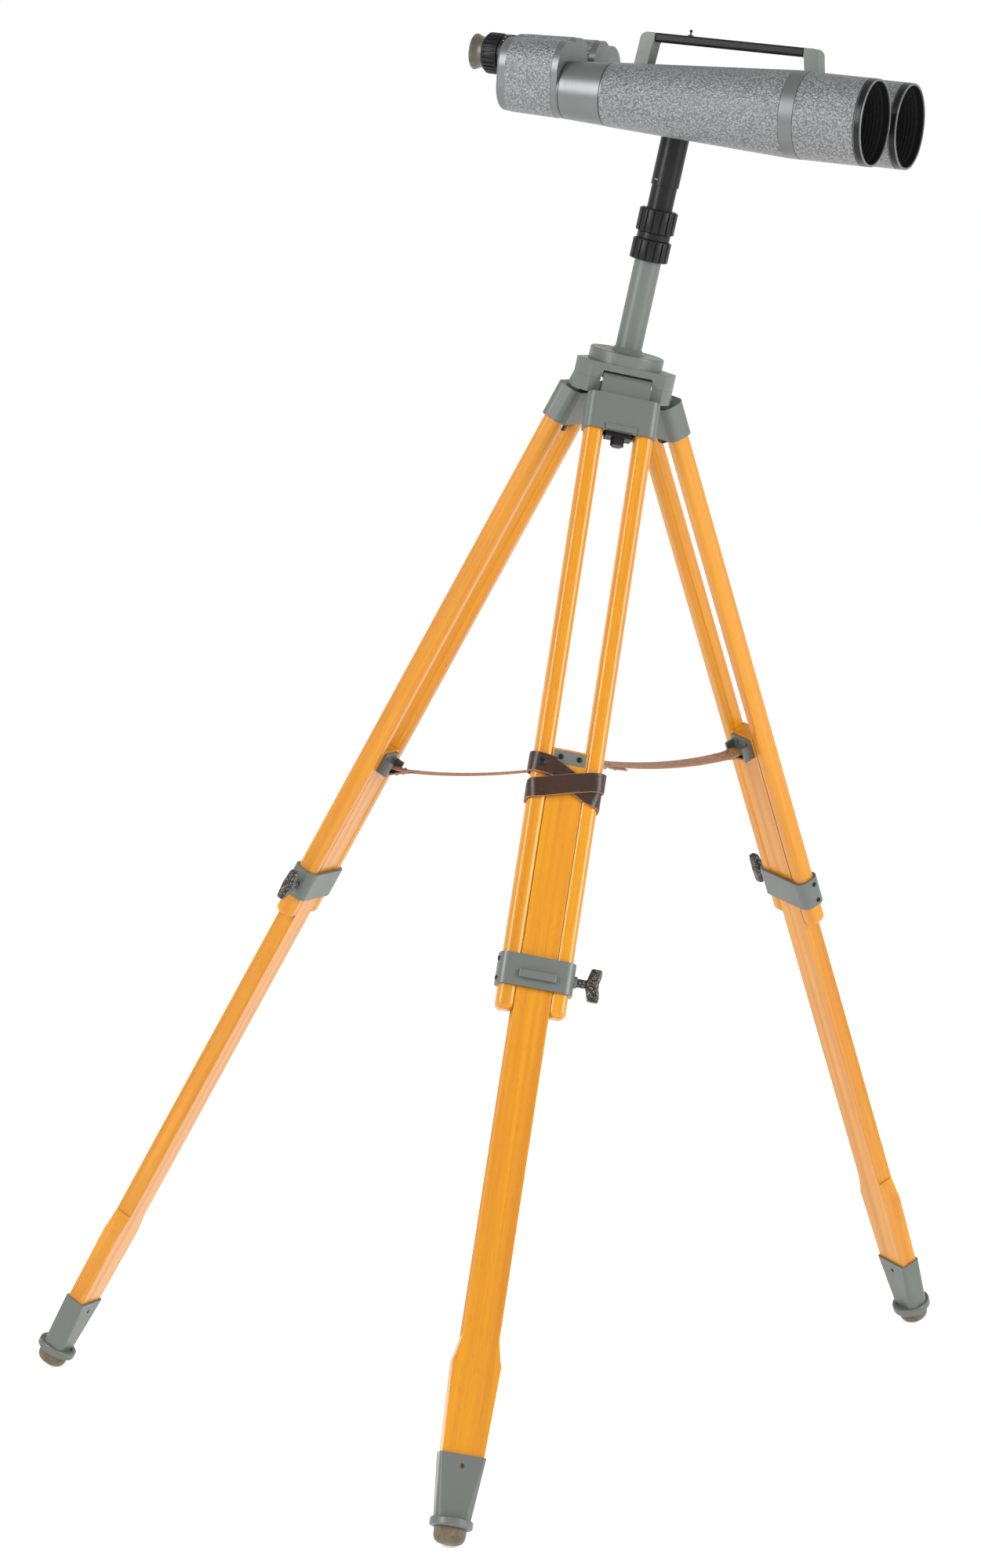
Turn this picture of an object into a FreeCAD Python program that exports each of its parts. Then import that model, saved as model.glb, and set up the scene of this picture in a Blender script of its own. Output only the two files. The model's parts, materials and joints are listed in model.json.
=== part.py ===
"""Large observation binoculars on a leaning wooden tripod.  Millimetres, +Z up, +X ahead of the lenses.

Three local frames carry all the pieces:
  head    origin at the middle of the stem flange's top face, +Z up the leaning column
  leg     origin on a leg's hinge pin, -Z down the leg, +X out of its outer face, +Y along the pin
  optics  origin on the tilt pin, +X ahead along the tubes, +Y to the observer's left
"""
import FreeCAD, Part
import math
import os

V = FreeCAD.Vector

# ---- stance -----------------------------------------------------------------------------------
HEAD_HEIGHT = 1187.0                 # flange top above the floor
LEAN = 11.9                          # column from the vertical, degrees
LEAN_AZIMUTH = 11.0                  # direction of that lean, from +X towards +Y
OPTICS_TILT = 6.8                    # tubes above the square to the column
LEGS = {                             # azimuth about the column, spread from the column
    "right": (-60.0, 25.0),
    "rear": (180.0, 17.1),
    "left": (60.0, 33.8),
}

# ---- tripod head ------------------------------------------------------------------------------
FLANGE_R, FLANGE_T = 40.6, 12.5
PLATE_R, PLATE_FLAT = 57.0, 40.0     # round platform and the distance of its flats
UPPER_PLATE_T, LOWER_PLATE_T = 17.5, 16.0
HINGE_Z = -(FLANGE_T + UPPER_PLATE_T)
HINGE_R = 37.7
PIN_R = 3.5
SLOT_W, TONGUE_W, TONGUE_R = 54.0, 53.0, 7.5
STEM_R, STEM_BORE_R, STEM_TOP = 14.5, 11.0, 123.6
RUN = 0.05                           # radial clearance of a turning fit

# ---- column -----------------------------------------------------------------------------------
LOCK_RING_R = 20.8
LOWER_RING = (101.3, 124.4)           # bottom and top along the column
UPPER_RING = (131.8, 157.4)
TUBE_R, COLLAR_R, SLEEVE_R, SLEEVE_BOTTOM = 13.9, 18.0, 15.25, 183.0
PIVOT_Z = 274.5
TILT_PIN_R, TILT_TONGUE_T, TILT_TONGUE_R = 4.0, 13.4, 12.0

# ---- legs -------------------------------------------------------------------------------------
SOCKET_LENGTH = 59.0                 # hinge pin to the socket's lower edge
LEG_W, STILE_W, LEG_T, STILE_FILLET = 75.0, 20.0, 22.0, 7.5
CLAMP_AT, CLAMP_H, CLAMP_WALL = 659.0, 34.0, 3.6
STILE_TAIL = 43.0                    # stile below the middle of the clamp
BOARD_LENGTH, BOARD_W, BOARD_T = 845.0, 38.6, 20.0
SHOULDER_UP, SHOULDER_W, SHOULDER_RUN = 189.0, 51.0, 26.0
FERRULE_UP, FERRULE_W = 94.0, 44.0   # top of the shoe above the leg's tip, board width there
COLLAR_UP, FOOT_R = 24.0, 17.0
SLIDE_GAP = 0.35                     # board to stile

# ---- spreader straps --------------------------------------------------------------------------
STRAP_W, STRAP_T, STRAP_SAG = 22.0, 3.2, 7.0
EYE_DOWN, EYE_OUT = 20.0, 9.0        # strap eye below the board's top and off its inner face
RING_R, RING_T, RING_GAP = 19.0, 3.0, 2.5
RING_SIDE = "right"                  # the strap that carries the ring
BINDING_W, BINDING_T = 21.0, 2.4
BINDING_DOWN, BINDING_LEVEL, BINDING_BEHIND = (413.0, 471.0), (454.0, 437.0), (452.0, 466.0)

# ---- optics -----------------------------------------------------------------------------------
TUBE_SPACING = 111.2
SEAM_X, BAND_X, SHIELD_X, RIM_X = -112.4, 147.0, 162.3, 239.0
TUBE_REAR_R, TUBE_FRONT_R, BAND_RISE, WALL = 31.0, 45.8, 0.6, 2.4
APERTURE_R = 41.0
HOUSING_REAR_X, HOUSING_WALL, HOUSING_ROUND, DRAFT = -184.4, 2.6, 3.5, 2.2
LOBE_R, LOBE_TOP = 30.8, (-3.0, 21.4)     # outer lobe: radius, and its upper centre (inward, up)
EYE_R, EYE_LOBE = 23.5, (22.0, 33.0)      # inner lobe: radius and upper centre (inward, up)
EYE_ROOT = (8.0, 6.0)                     # lower centre of the inner lobe
EYE_AXIS = (22.0, 30.7)                   # eyepiece from the tube's axis (inward, up)
BARREL_X, RING_X, CUP_X = -200.0, -219.0, -233.5
HANDLE_TOP, HANDLE_BAR_T, HANDLE_W, HANDLE_SEAT = 70.7, 10.0, 22.0, 14.0
HANDLE_REAR_X, HANDLE_FRONT_X, HANDLE_FOOT = -60.7, 157.6, 15.6
HANDLE_LEAN, HANDLE_REACH = 7.0, 24.0    # lean of the outer face, and where the grip starts


# ---- helpers ----------------------------------------------------------------------------------
def box(x0, x1, y0, y1, z0, z1):
    return Part.makeBox(x1 - x0, y1 - y0, z1 - z0, V(x0, y0, z0))


def rod(r, start, end):
    """Cylinder between two points."""
    start, end = V(*start), V(*end)
    return Part.makeCylinder(r, (end - start).Length, start, end - start)


def turned(profile, axis=V(0, 0, 1)):
    """Solid of revolution: profile is a list of (radius, height along the axis)."""
    side = V(1, 0, 0) if axis.z else V(0, 0, 1)
    points = [side * r + axis * h for r, h in profile]
    face = Part.Face(Part.makePolygon(points + points[:1]))
    return face.revolve(V(0, 0, 0), axis, 360)


def prism(points, lift):
    """Straight prism on a closed outline of (x, y, z) corners."""
    corners = [V(*p) for p in points]
    return Part.Face(Part.makePolygon(corners + corners[:1])).extrude(V(*lift))


def rounded_bar(x0, x1, y0, y1, z0, z1, r):
    """Box with its four edges along Z rounded."""
    solid = box(x0, x1, y0, y1, z0, z1)
    upright = [e for e in solid.Edges if abs(e.tangentAt(0).z) > 0.99]
    return solid.makeFillet(r, upright)


def fused(*shapes):
    return shapes[0].fuse(list(shapes[1:])).removeSplitter()


def moved_by(shape, placement):
    """Copy of a shape carried through a placement."""
    copy = shape.copy()
    copy.Placement = placement.multiply(copy.Placement)
    return copy


# ---- frames -----------------------------------------------------------------------------------
def turn(axis, degrees):
    return FreeCAD.Placement(V(0, 0, 0), FreeCAD.Rotation(axis, degrees))


def shift(x, y, z):
    return FreeCAD.Placement(V(x, y, z), FreeCAD.Rotation())


def head_frame():
    azimuth = math.radians(LEAN_AZIMUTH)
    lean_axis = V(-math.sin(azimuth), math.cos(azimuth), 0)
    return shift(0, 0, HEAD_HEIGHT).multiply(turn(lean_axis, LEAN))


def leg_frame(side):
    azimuth, spread = LEGS[side]
    frame = head_frame().multiply(turn(V(0, 0, 1), azimuth))
    return frame.multiply(shift(HINGE_R, 0, HINGE_Z)).multiply(turn(V(0, 1, 0), -spread))


def optics_frame():
    return head_frame().multiply(shift(0, 0, PIVOT_Z)).multiply(turn(V(0, 1, 0), -OPTICS_TILT))


def leg_tip(side):
    """Distance from the hinge pin to the rubber tip when the foot's ball rests on the floor."""
    frame = leg_frame(side)
    down = frame.Rotation.multVec(V(0, 0, -1))
    return (frame.Base.z - FOOT_R) / -down.z + FOOT_R


def strap_point(side):
    """The hinge of a leg's spreader strap, in the leg frame."""
    top = leg_tip(side) - BOARD_LENGTH
    return V(-BOARD_T / 2 - EYE_OUT, 0, -(top + EYE_DOWN))


def strap_ends():
    return {side: leg_frame(side).multVec(strap_point(side)) for side in LEGS}


def ring_centre():
    """The point at one distance from the three strap hinges."""
    a, b, c = strap_ends().values()
    ab, ac = b - a, c - a
    normal = ab.cross(ac)
    bulge = normal.cross(ab) * ac.dot(ac) + ac.cross(normal) * ab.dot(ab)
    return a + bulge * (1 / (2 * normal.dot(normal)))


def strap_frame(side):
    """Origin on the strap's hinge pin, +Y along the pin, the ring's centre in the XY plane."""
    start, goal = strap_ends()[side], ring_centre()
    pin = leg_frame(side).Rotation.multVec(V(0, 1, 0)) * -1
    up = (goal - start).cross(pin)
    rotation = FreeCAD.Rotation(pin.cross(up), pin, up, "YZX")
    return FreeCAD.Placement(start, rotation)


def ring_place(side):
    """The ring's centre in a strap's own frame."""
    return strap_frame(side).inverse().multVec(ring_centre())


# ---- tripod head ------------------------------------------------------------------------------
def platform_outline(z, t):
    solid = Part.makeCylinder(PLATE_R, t, V(0, 0, z))
    for azimuth, _ in LEGS.values():
        waste = box(PLATE_FLAT, PLATE_R + 1, -PLATE_R, PLATE_R, z - 1, z + t + 1)
        solid = solid.cut(moved_by(waste, turn(V(0, 0, 1), azimuth)))
    return solid


def hinge_slots(z0, z1):
    """Room for the three leg tongues, between two heights."""
    slots = []
    for azimuth, _ in LEGS.values():
        slot = box(HINGE_R - 14, PLATE_R + 1, -SLOT_W / 2, SLOT_W / 2, z0, z1)
        slots.append(moved_by(slot, turn(V(0, 0, 1), azimuth)))
    return slots


def hinge_pin_rods(r):
    pins = []
    for azimuth, _ in LEGS.values():
        pin = rod(r, (HINGE_R, -PLATE_FLAT, HINGE_Z), (HINGE_R, PLATE_FLAT, HINGE_Z))
        pins.append(moved_by(pin, turn(V(0, 0, 1), azimuth)))
    return pins


def pin_room():
    """Bores for the hinge pins, shortened to the pins' own length."""
    rods = hinge_pin_rods(PIN_R)
    inside = Part.makeCylinder(PLATE_R - 8, 60, V(0, 0, HINGE_Z - 30))
    return [r.common(inside) for r in rods]


def platform_plate():
    plate = platform_outline(HINGE_Z, UPPER_PLATE_T).cut(hinge_slots(HINGE_Z - 1, -FLANGE_T - 8))
    return plate.cut(pin_room() + [Part.makeCylinder(5, 80, V(0, 0, -60))])


def clamp_plate():
    plate = platform_outline(HINGE_Z - LOWER_PLATE_T, LOWER_PLATE_T)
    plate = plate.cut(hinge_slots(HINGE_Z - LOWER_PLATE_T - 1, HINGE_Z + 1))
    return plate.cut(pin_room() + [Part.makeCylinder(5, 80, V(0, 0, -60))])


def hinge_pins():
    return Part.makeCompound(pin_room())


def stem():
    flange = Part.makeCylinder(FLANGE_R, FLANGE_T, V(0, 0, -FLANGE_T))
    upper_edge = [e for e in flange.Edges if abs(e.CenterOfMass.z) < 0.01]
    flange = flange.makeFillet(1.5, upper_edge)
    tube = Part.makeCylinder(STEM_R, STEM_TOP, V(0, 0, 0))
    foot = turned([(STEM_R - 1, -1), (STEM_R + 5, -1), (STEM_R + 5, 0), (STEM_R, 5), (STEM_R - 1, 5)])
    body = fused(flange, tube, foot)
    return body.cut([Part.makeCylinder(STEM_BORE_R, STEM_TOP, V(0, 0, 14)),
                     Part.makeCylinder(5, 40, V(0, 0, -20))])


def centre_bolt():
    washer_top = HINGE_Z - LOWER_PLATE_T
    washer = Part.makeCylinder(14, 3, V(0, 0, washer_top - 3))
    hexagon = [(11 * math.cos(a), 11 * math.sin(a), washer_top - 13) for a in
               (math.radians(60 * i) for i in range(6))]
    shank = Part.makeCylinder(5, 7 - washer_top, V(0, 0, washer_top))
    tip = Part.makeCylinder(7, 11, V(0, 0, washer_top - 20))
    return fused(washer, prism(hexagon, (0, 0, 10)), shank, tip)


# ---- column -----------------------------------------------------------------------------------
def lock_ring(span, bore):
    z0, z1 = span
    outline = [(bore, z0), (LOCK_RING_R - 1.2, z0), (LOCK_RING_R, z0 + 1.2),
               (LOCK_RING_R, z1 - 1.2), (LOCK_RING_R - 1.2, z1), (bore, z1)]
    return turned(outline)


def column_tube():
    collar_bottom, collar_top = LOWER_RING[1] + 0.3, UPPER_RING[0] - 0.3
    spigot = Part.makeCylinder(STEM_BORE_R - RUN, collar_bottom - 55, V(0, 0, 55))
    collar = Part.makeCylinder(COLLAR_R, collar_top - collar_bottom, V(0, 0, collar_bottom))
    tube = Part.makeCylinder(TUBE_R, 232 - collar_top, V(0, 0, collar_top))
    return fused(spigot, collar, tube)


def mount_sleeve():
    top = PIVOT_Z - 22.5
    sleeve = Part.makeCylinder(SLEEVE_R, top - SLEEVE_BOTTOM, V(0, 0, SLEEVE_BOTTOM))
    sleeve = sleeve.cut(Part.makeCylinder(TUBE_R, 232 - SLEEVE_BOTTOM, V(0, 0, SLEEVE_BOTTOM)))
    half = TILT_TONGUE_T / 2
    tongue = box(-TILT_TONGUE_R, TILT_TONGUE_R, -half, half, top - 1, PIVOT_Z)
    knuckle = rod(TILT_TONGUE_R, (0, -half, PIVOT_Z), (0, half, PIVOT_Z))
    bore = rod(TILT_PIN_R + RUN, (0, -20, PIVOT_Z), (0, 20, PIVOT_Z))
    return fused(sleeve, tongue, knuckle).cut(bore)


# ---- legs -------------------------------------------------------------------------------------
def stile_bar(side, z0, z1, grow=0.0):
    """One rounded stile, or its outline grown all round."""
    middle = side * (LEG_W - STILE_W) / 2
    w, t = STILE_W / 2 + grow, LEG_T / 2 + grow
    return rounded_bar(-t, t, middle - w, middle + w, z0, z1, STILE_FILLET + grow)


def leg_socket():
    half = LEG_W / 2 + 2.4
    body = rounded_bar(-14.5, 14.5, -half, half, -SOCKET_LENGTH, -19, 10)
    tongue = box(-TONGUE_R, TONGUE_R, -TONGUE_W / 2, TONGUE_W / 2, -22, 0)
    knuckle = rod(TONGUE_R, (0, -TONGUE_W / 2, 0), (0, TONGUE_W / 2, 0))
    lip = box(12, 16, -17, 17, -SOCKET_LENGTH, -SOCKET_LENGTH + 6)
    shell = fused(body, tongue, knuckle, lip)
    cuts = [stile_bar(s, -SOCKET_LENGTH - 1, -30) for s in (-1, 1)]
    cuts.append(box(-9, 9, -STILE_W + 3, STILE_W - 3, -SOCKET_LENGTH - 1, -38))
    cuts.append(rod(PIN_R + RUN, (0, -TONGUE_W, 0), (0, TONGUE_W, 0)))
    return shell.cut(cuts)


def stiles():
    bars = []
    for s in (-1, 1):
        bar = stile_bar(s, -(CLAMP_AT + STILE_TAIL), -30)
        lower = [e for e in bar.Edges if e.CenterOfMass.z < -(CLAMP_AT + STILE_TAIL) + 0.01]
        bars.append(bar.makeFillet(6, lower))
    return Part.makeCompound(bars)


def clamp_band():
    z0, z1 = -CLAMP_AT - CLAMP_H / 2, -CLAMP_AT + CLAMP_H / 2
    t, w = LEG_T / 2, LEG_W / 2
    outer = rounded_bar(-t - CLAMP_WALL, t + CLAMP_WALL, -w - CLAMP_WALL, w + CLAMP_WALL, z0, z1, 11)
    rib = rounded_bar(t + 1, t + CLAMP_WALL + 4, -20, 20, -CLAMP_AT - 8, -CLAMP_AT, 1.5)
    boss = rod(6.5, (0, w, -CLAMP_AT), (0, w + CLAMP_WALL + 3, -CLAMP_AT))
    band = fused(outer, rib, boss)
    hole = rounded_bar(-t, t, -w, w, z0 - 1, z1 + 1, STILE_FILLET)
    return band.cut([hole, rod(4, (0, w, -CLAMP_AT), (0, w + 20, -CLAMP_AT))])


def wing_screw():
    y0 = LEG_W / 2 + 0.3
    y1 = LEG_W / 2 + CLAMP_WALL + 13
    shank = rod(4 - RUN, (0, y0, -CLAMP_AT), (0, y1 + 1, -CLAMP_AT))
    hub = rod(7, (0, y1, -CLAMP_AT), (0, y1 + 10, -CLAMP_AT))
    outline = [(-3, y1, -5), (-3, y1 + 4, -19), (-3, y1 + 14, -19), (-3, y1 + 16, -3), (-3, y1 + 16, 3),
               (-3, y1 + 14, 19), (-3, y1 + 4, 19), (-3, y1, 5)]
    wing = prism([(x, y, z - CLAMP_AT) for x, y, z in outline], (6, 0, 0))
    return fused(shank, hub, wing)


def lower_board(side):
    """Board between the stiles: coved edges above, a plain shoulder and taper below."""
    tip = leg_tip(side)
    top, shoulder, end = -(tip - BOARD_LENGTH), -(tip - SHOULDER_UP), -(tip - COLLAR_UP - 6)
    ferrule = -(tip - FERRULE_UP)
    narrow, wide, shod = BOARD_W / 2, SHOULDER_W / 2, FERRULE_W / 2
    x = BOARD_T / 2
    upper = box(-x, x, -narrow, narrow, shoulder + SHOULDER_RUN, top)
    upper = upper.cut([stile_bar(s, shoulder, top + 1, SLIDE_GAP) for s in (-1, 1)])
    outline = [(narrow, shoulder + SHOULDER_RUN), (wide - 2, shoulder + 6), (wide, shoulder),
               (shod, ferrule), (shod - 5, end)]
    left = [(-x, y, z) for y, z in outline]
    right = [(-x, -y, z) for y, z in reversed(outline)]
    lower = prism(left + right, (BOARD_T, 0, 0))
    scoops = []
    for s in (-1, 1):
        middle = s * (LEG_W - STILE_W) / 2
        start = V(0, middle, shoulder + SHOULDER_RUN + 1)
        away = V(0, s * 0.45, -1)
        scoops.append(Part.makeCone(8.4, 7.0, 27, start, away))
    return fused(upper, lower.cut(scoops))


def strap_bracket(side):
    """Block screwed to the board's inner face, with an eye for the strap."""
    hinge = strap_point(side)
    x = -BOARD_T / 2
    plate = box(x - 3, x, -16.5, 16.5, hinge.z - 5, hinge.z + 18)
    ears = [box(hinge.x - 5, x, y, y + 3, hinge.z - 5, hinge.z + 12) for y in (-16.5, 13.5)]
    pin = rod(2, (hinge.x, -16.5, hinge.z), (hinge.x, 16.5, hinge.z))
    heads = [rod(3, (x - 4.5, y, hinge.z + 13), (x, y, hinge.z + 13)) for y in (-8, 8)]
    outer_plate = box(-x, -x + 0.6, -17, 17, hinge.z + 4, hinge.z + 18)
    inner = fused(plate, *ears, pin, *heads)
    return Part.makeCompound([inner, outer_plate])


def lofted(sections):
    return Part.makeLoft(sections, True, True)


def rounded_section(x_half, y_half, z, r):
    bar = rounded_bar(-x_half, x_half, -y_half, y_half, z, z + 1, r)
    base = [f for f in bar.Faces if f.CenterOfMass.z < z + 0.01]
    return base[0].OuterWire


def ferrule(side):
    """Cast shoe: a tapered socket on the board's end, closed by a round collar."""
    tip = leg_tip(side)
    top, collar = -(tip - FERRULE_UP), -(tip - COLLAR_UP)
    shell = lofted([rounded_section(12.6, FERRULE_W / 2 + 2.4, top, 3),
                    rounded_section(13.5, 18.5, collar, 9)])
    ring = Part.makeCylinder(21, 6, V(0, 0, collar - 3))
    rims = [e for e in ring.Edges if e.Length > 100]
    ring = ring.makeFillet(1.8, rims)
    body = fused(shell, ring)
    return body.cut([lower_board(side), rod(2.5, (-20, 0, top - 12), (20, 0, top - 12))])


def rubber_foot(side):
    """Rubber plug with a ball end; the ball is what meets the floor."""
    tip = leg_tip(side)
    collar = -(tip - COLLAR_UP)
    ball = Part.makeSphere(FOOT_R, V(0, 0, -tip + FOOT_R))
    barrel = Part.makeCylinder(FOOT_R, collar - 3 + tip - FOOT_R, V(0, 0, -tip + FOOT_R))
    return fused(ball, barrel).cut(box(-40, 40, -40, 40, collar - 3, collar + 40))


# ---- straps -----------------------------------------------------------------------------------
def spreader_strap(side):
    """Leather strap in a shallow sag, from its bracket pin to the ring."""
    centre = ring_place(side)
    start, end = 3.6, centre.Length - RING_R - RING_GAP
    if side == RING_SIDE:
        end = centre.Length - RING_R + 3
    steps = 12

    def sag(x):
        u = (x - start) / (end - start)
        return -4 * STRAP_SAG * u * (1 - u)

    xs = [start + (end - start) * i / steps for i in range(steps + 1)]
    upper = [(x, -STRAP_W / 2, sag(x) + STRAP_T / 2) for x in xs]
    lower = [(x, -STRAP_W / 2, sag(x) - STRAP_T / 2) for x in reversed(xs)]
    band = prism(upper + lower, (0, STRAP_W, 0))
    skew = math.degrees(math.atan2(centre.y, centre.x))
    band = moved_by(band, turn(V(0, 0, 1), skew))
    loop = rod(5.4, (0, -10, 0), (0, 10, 0))
    cuts = [rod(2 + 2 * RUN, (0, -30, 0), (0, 30, 0)), Part.makeCylinder(RING_R, 20, centre - V(0, 0, 10))]
    return fused(band, loop).cut(cuts)


def spreader_ring():
    centre = ring_place(RING_SIDE)
    base = centre - V(0, 0, RING_T / 2)
    return Part.makeCylinder(RING_R, RING_T, base).cut(Part.makeCylinder(RING_R - 6, RING_T, base))


def strap_slab(x0, x1, left, right):
    """Sloping slab across the leg; left and right are the strap's middle at its outer edges, down the leg."""
    run = LEG_W + 20
    half = BINDING_W / 2 * math.hypot(1, (right - left) / run)
    outline = [(x0, -run / 2, half - left), (x0, run / 2, half - right),
               (x0, run / 2, -half - right), (x0, -run / 2, -half - left)]
    return prism(outline, (x1 - x0, 0, 0))


def binding_strap():
    """Leather strap round the right leg: looped on one stile, down across the face, round the back
    and once more across the face as a nearly level turn."""
    t, w = LEG_T / 2, LEG_W / 2

    def hoop(wall):
        outer = rounded_bar(-t - wall, t + wall, -w - wall, w + wall, -520, -380, STILE_FILLET + wall)
        return outer.cut(rounded_bar(-t, t, -w, w, -521, -379, STILE_FILLET))

    down = hoop(BINDING_T).common(strap_slab(-4, 30, *BINDING_DOWN))
    level = hoop(2 * BINDING_T).common(strap_slab(-6, 30, *BINDING_LEVEL))
    behind = hoop(BINDING_T).common(strap_slab(-30, 2, *BINDING_BEHIND))
    return fused(down, level, behind)


# ---- optics -----------------------------------------------------------------------------------
def side_sign(side):
    return 1 if side == "left" else -1


def on_tube(shape, side):
    """Carry a piece drawn about the X axis to its tube."""
    return moved_by(shape, shift(0, side_sign(side) * TUBE_SPACING / 2, 0))


def tube_radius(x):
    return TUBE_REAR_R + (TUBE_FRONT_R - TUBE_REAR_R) * (x - SEAM_X) / (BAND_X - SEAM_X)


def tube_outline(side):
    cone = turned([(0, SEAM_X), (TUBE_REAR_R, SEAM_X), (TUBE_FRONT_R, BAND_X),
                   (TUBE_FRONT_R + BAND_RISE, BAND_X), (TUBE_FRONT_R + BAND_RISE, RIM_X), (0, RIM_X)],
                  V(1, 0, 0))
    return on_tube(cone, side)


def objective_tube(side):
    seat = BAND_X - 12
    profile = [
        (21, SEAM_X - 5), (24, SEAM_X - 5), (24, SEAM_X + 0.3), (TUBE_REAR_R, SEAM_X + 0.3),
        (TUBE_FRONT_R, BAND_X), (APERTURE_R, BAND_X), (APERTURE_R, seat), (APERTURE_R - 1.5, seat),
        (APERTURE_R - 1.5, seat - 3), (tube_radius(seat - 12) - WALL, seat - 12),
        (TUBE_REAR_R - WALL, SEAM_X + 4), (21, SEAM_X + 4),
    ]
    return on_tube(turned(profile, V(1, 0, 0)), side)


def dew_shield(side):
    r = TUBE_FRONT_R
    profile = [
        (APERTURE_R, BAND_X), (r + BAND_RISE, BAND_X), (r + BAND_RISE, SHIELD_X), (r, SHIELD_X), (r, RIM_X - 9),
        (r - 0.8, RIM_X - 9), (r - 0.8, RIM_X - 8), (r + 0.2, RIM_X - 7), (r + 0.2, RIM_X),
        (r - 1.6, RIM_X), (r - 2.2, SHIELD_X), (APERTURE_R, SHIELD_X - 6),
    ]
    return on_tube(turned(profile, V(1, 0, 0)), side)


def objective_lens(side):
    """Biconvex front lens: the common part of two balls, trimmed to its edge."""
    middle, ball = BAND_X - 6, 190.0
    depth = 10.0
    lens = Part.makeSphere(ball, V(middle - ball + depth, 0, 0))
    lens = lens.common(Part.makeSphere(ball, V(middle + ball - depth, 0, 0)))
    edge = rod(APERTURE_R, (middle - 6, 0, 0), (middle + 6, 0, 0))
    lens = lens.common(rod(APERTURE_R, (middle - 12, 0, 0), (middle + 12, 0, 0)))
    return on_tube(lens.common(edge), side)


def stadium(r, a, b, x):
    """Outline square to X: two half rounds about a and b (inward, up) joined by straight sides."""
    a, b = V(x, *a), V(x, *b)
    along = (b - a).normalize()
    across = V(0, -along.z, along.y)
    first = Part.Arc(a + across * r, a - along * r, a - across * r).toShape()
    second = Part.Arc(b - across * r, b + along * r, b + across * r).toShape()
    return Part.Wire([first, Part.makeLine(a - across * r, b - across * r), second,
                      Part.makeLine(b + across * r, a + across * r)])


def lobe(r, a, b, x0, x1):
    """One rounded lobe of a housing, narrower at the rear."""
    return lofted([stadium(r - DRAFT, a, b, x0), stadium(r, a, b, x1)])


def housing_block(inset, x0, x1):
    return fused(lobe(LOBE_R - inset, (0, 0), LOBE_TOP, x0, x1),
                 lobe(EYE_R - inset, EYE_ROOT, EYE_LOBE, x0, x1))


def prism_housing(side):
    """Hollow housing, drawn for the right tube and mirrored for the left."""
    shell = housing_block(0, HOUSING_REAR_X, SEAM_X)
    hollow = housing_block(HOUSING_WALL, HOUSING_REAR_X + 4, SEAM_X - 3)
    inward, up = EYE_AXIS
    cuts = [
        hollow,
        rod(24 + RUN, (SEAM_X - 10, 0, 0), (SEAM_X + 1, 0, 0)),
        rod(14, (HOUSING_REAR_X - 1, inward, up), (HOUSING_REAR_X + 5, inward, up)),
    ]
    rear_edges = [e for e in shell.Edges if e.BoundBox.XMax < HOUSING_REAR_X + 0.01]
    shell = on_tube(shell.makeFillet(HOUSING_ROUND, rear_edges).cut(cuts), "right")
    return shell if side == "right" else shell.mirror(V(0, 0, 0), V(0, 1, 0))


def prisms(side):
    """Two crossed reversing prisms on the light path between tube and eyepiece."""
    mirror = -side_sign(side)
    y_eye, z_eye = mirror * EYE_AXIS[0], EYE_AXIS[1]
    front = box(-156, -140, -17, 17, -17, 17 + z_eye - 8)
    rear = prism([(-176, -15, z_eye - 14), (-160, -15, z_eye - 14), (-160, -15, z_eye + 12),
                  (-176, -15, z_eye + 12)], (0, 28, 0))
    if mirror < 0:
        rear = rear.mirror(V(0, 0, 0), V(0, 1, 0))
    rear.translate(V(0, y_eye * 0.45, 0))
    return on_tube(Part.makeCompound([front, rear]), side)


def on_eyepiece(shape, side):
    """Carry a piece drawn about the X axis to its eyepiece."""
    mirror = -side_sign(side)
    return on_tube(moved_by(shape, shift(0, mirror * EYE_AXIS[0], EYE_AXIS[1])), side)


def eyepiece_barrel(side):
    front, rear = HOUSING_REAR_X, BARREL_X
    profile = [(10, front + 3), (14, front + 3), (14, front), (20.5, front), (20.5, rear + 0.3),
               (15, rear + 0.3), (15, RING_X + 4), (10, RING_X + 4)]
    return on_eyepiece(turned(profile, V(1, 0, 0)), side)


def focus_ring(side):
    profile = [(15 + RUN, BARREL_X), (22.3, BARREL_X), (22.3, RING_X + 3), (20.5, RING_X),
               (17, RING_X), (17, RING_X + 5), (15 + RUN, RING_X + 5)]
    return on_eyepiece(turned(profile, V(1, 0, 0)), side)


def eyecup(side):
    profile = [(11, RING_X + 3.5), (17, RING_X + 3.5), (17, RING_X - 2), (18.8, CUP_X + 2),
               (18.2, CUP_X), (16.8, CUP_X), (14.5, RING_X - 2), (11, RING_X - 2)]
    return on_eyepiece(turned(profile, V(1, 0, 0)), side)


def tube_room():
    return [tube_outline(side) for side in ("left", "right")]


def centre_bridge():
    """Saddle between the tubes with two cheeks for the tilt pin."""
    saddle = box(-34, 34, -26, 26, 4, 22)
    hub = rod(19, (0, -18, 0), (0, 18, 0))
    room = TILT_TONGUE_T / 2 + 0.3
    slot = box(-40, 40, -room, room, -25, 15)
    pin = rod(TILT_PIN_R, (0, -16, 0), (0, 16, 0))
    return fused(saddle, hub).cut(tube_room() + [slot, pin])


def tilt_pin():
    return rod(TILT_PIN_R, (0, -16, 0), (0, 16, 0))


def end_bridges():
    webs = []
    for x in (HANDLE_REAR_X, HANDLE_FRONT_X - HANDLE_FOOT):
        web_block = box(x, x + HANDLE_FOOT, -28, 28, -14, HANDLE_SEAT)
        webs.append(web_block.cut(tube_room()))
    return Part.makeCompound(webs)


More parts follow.
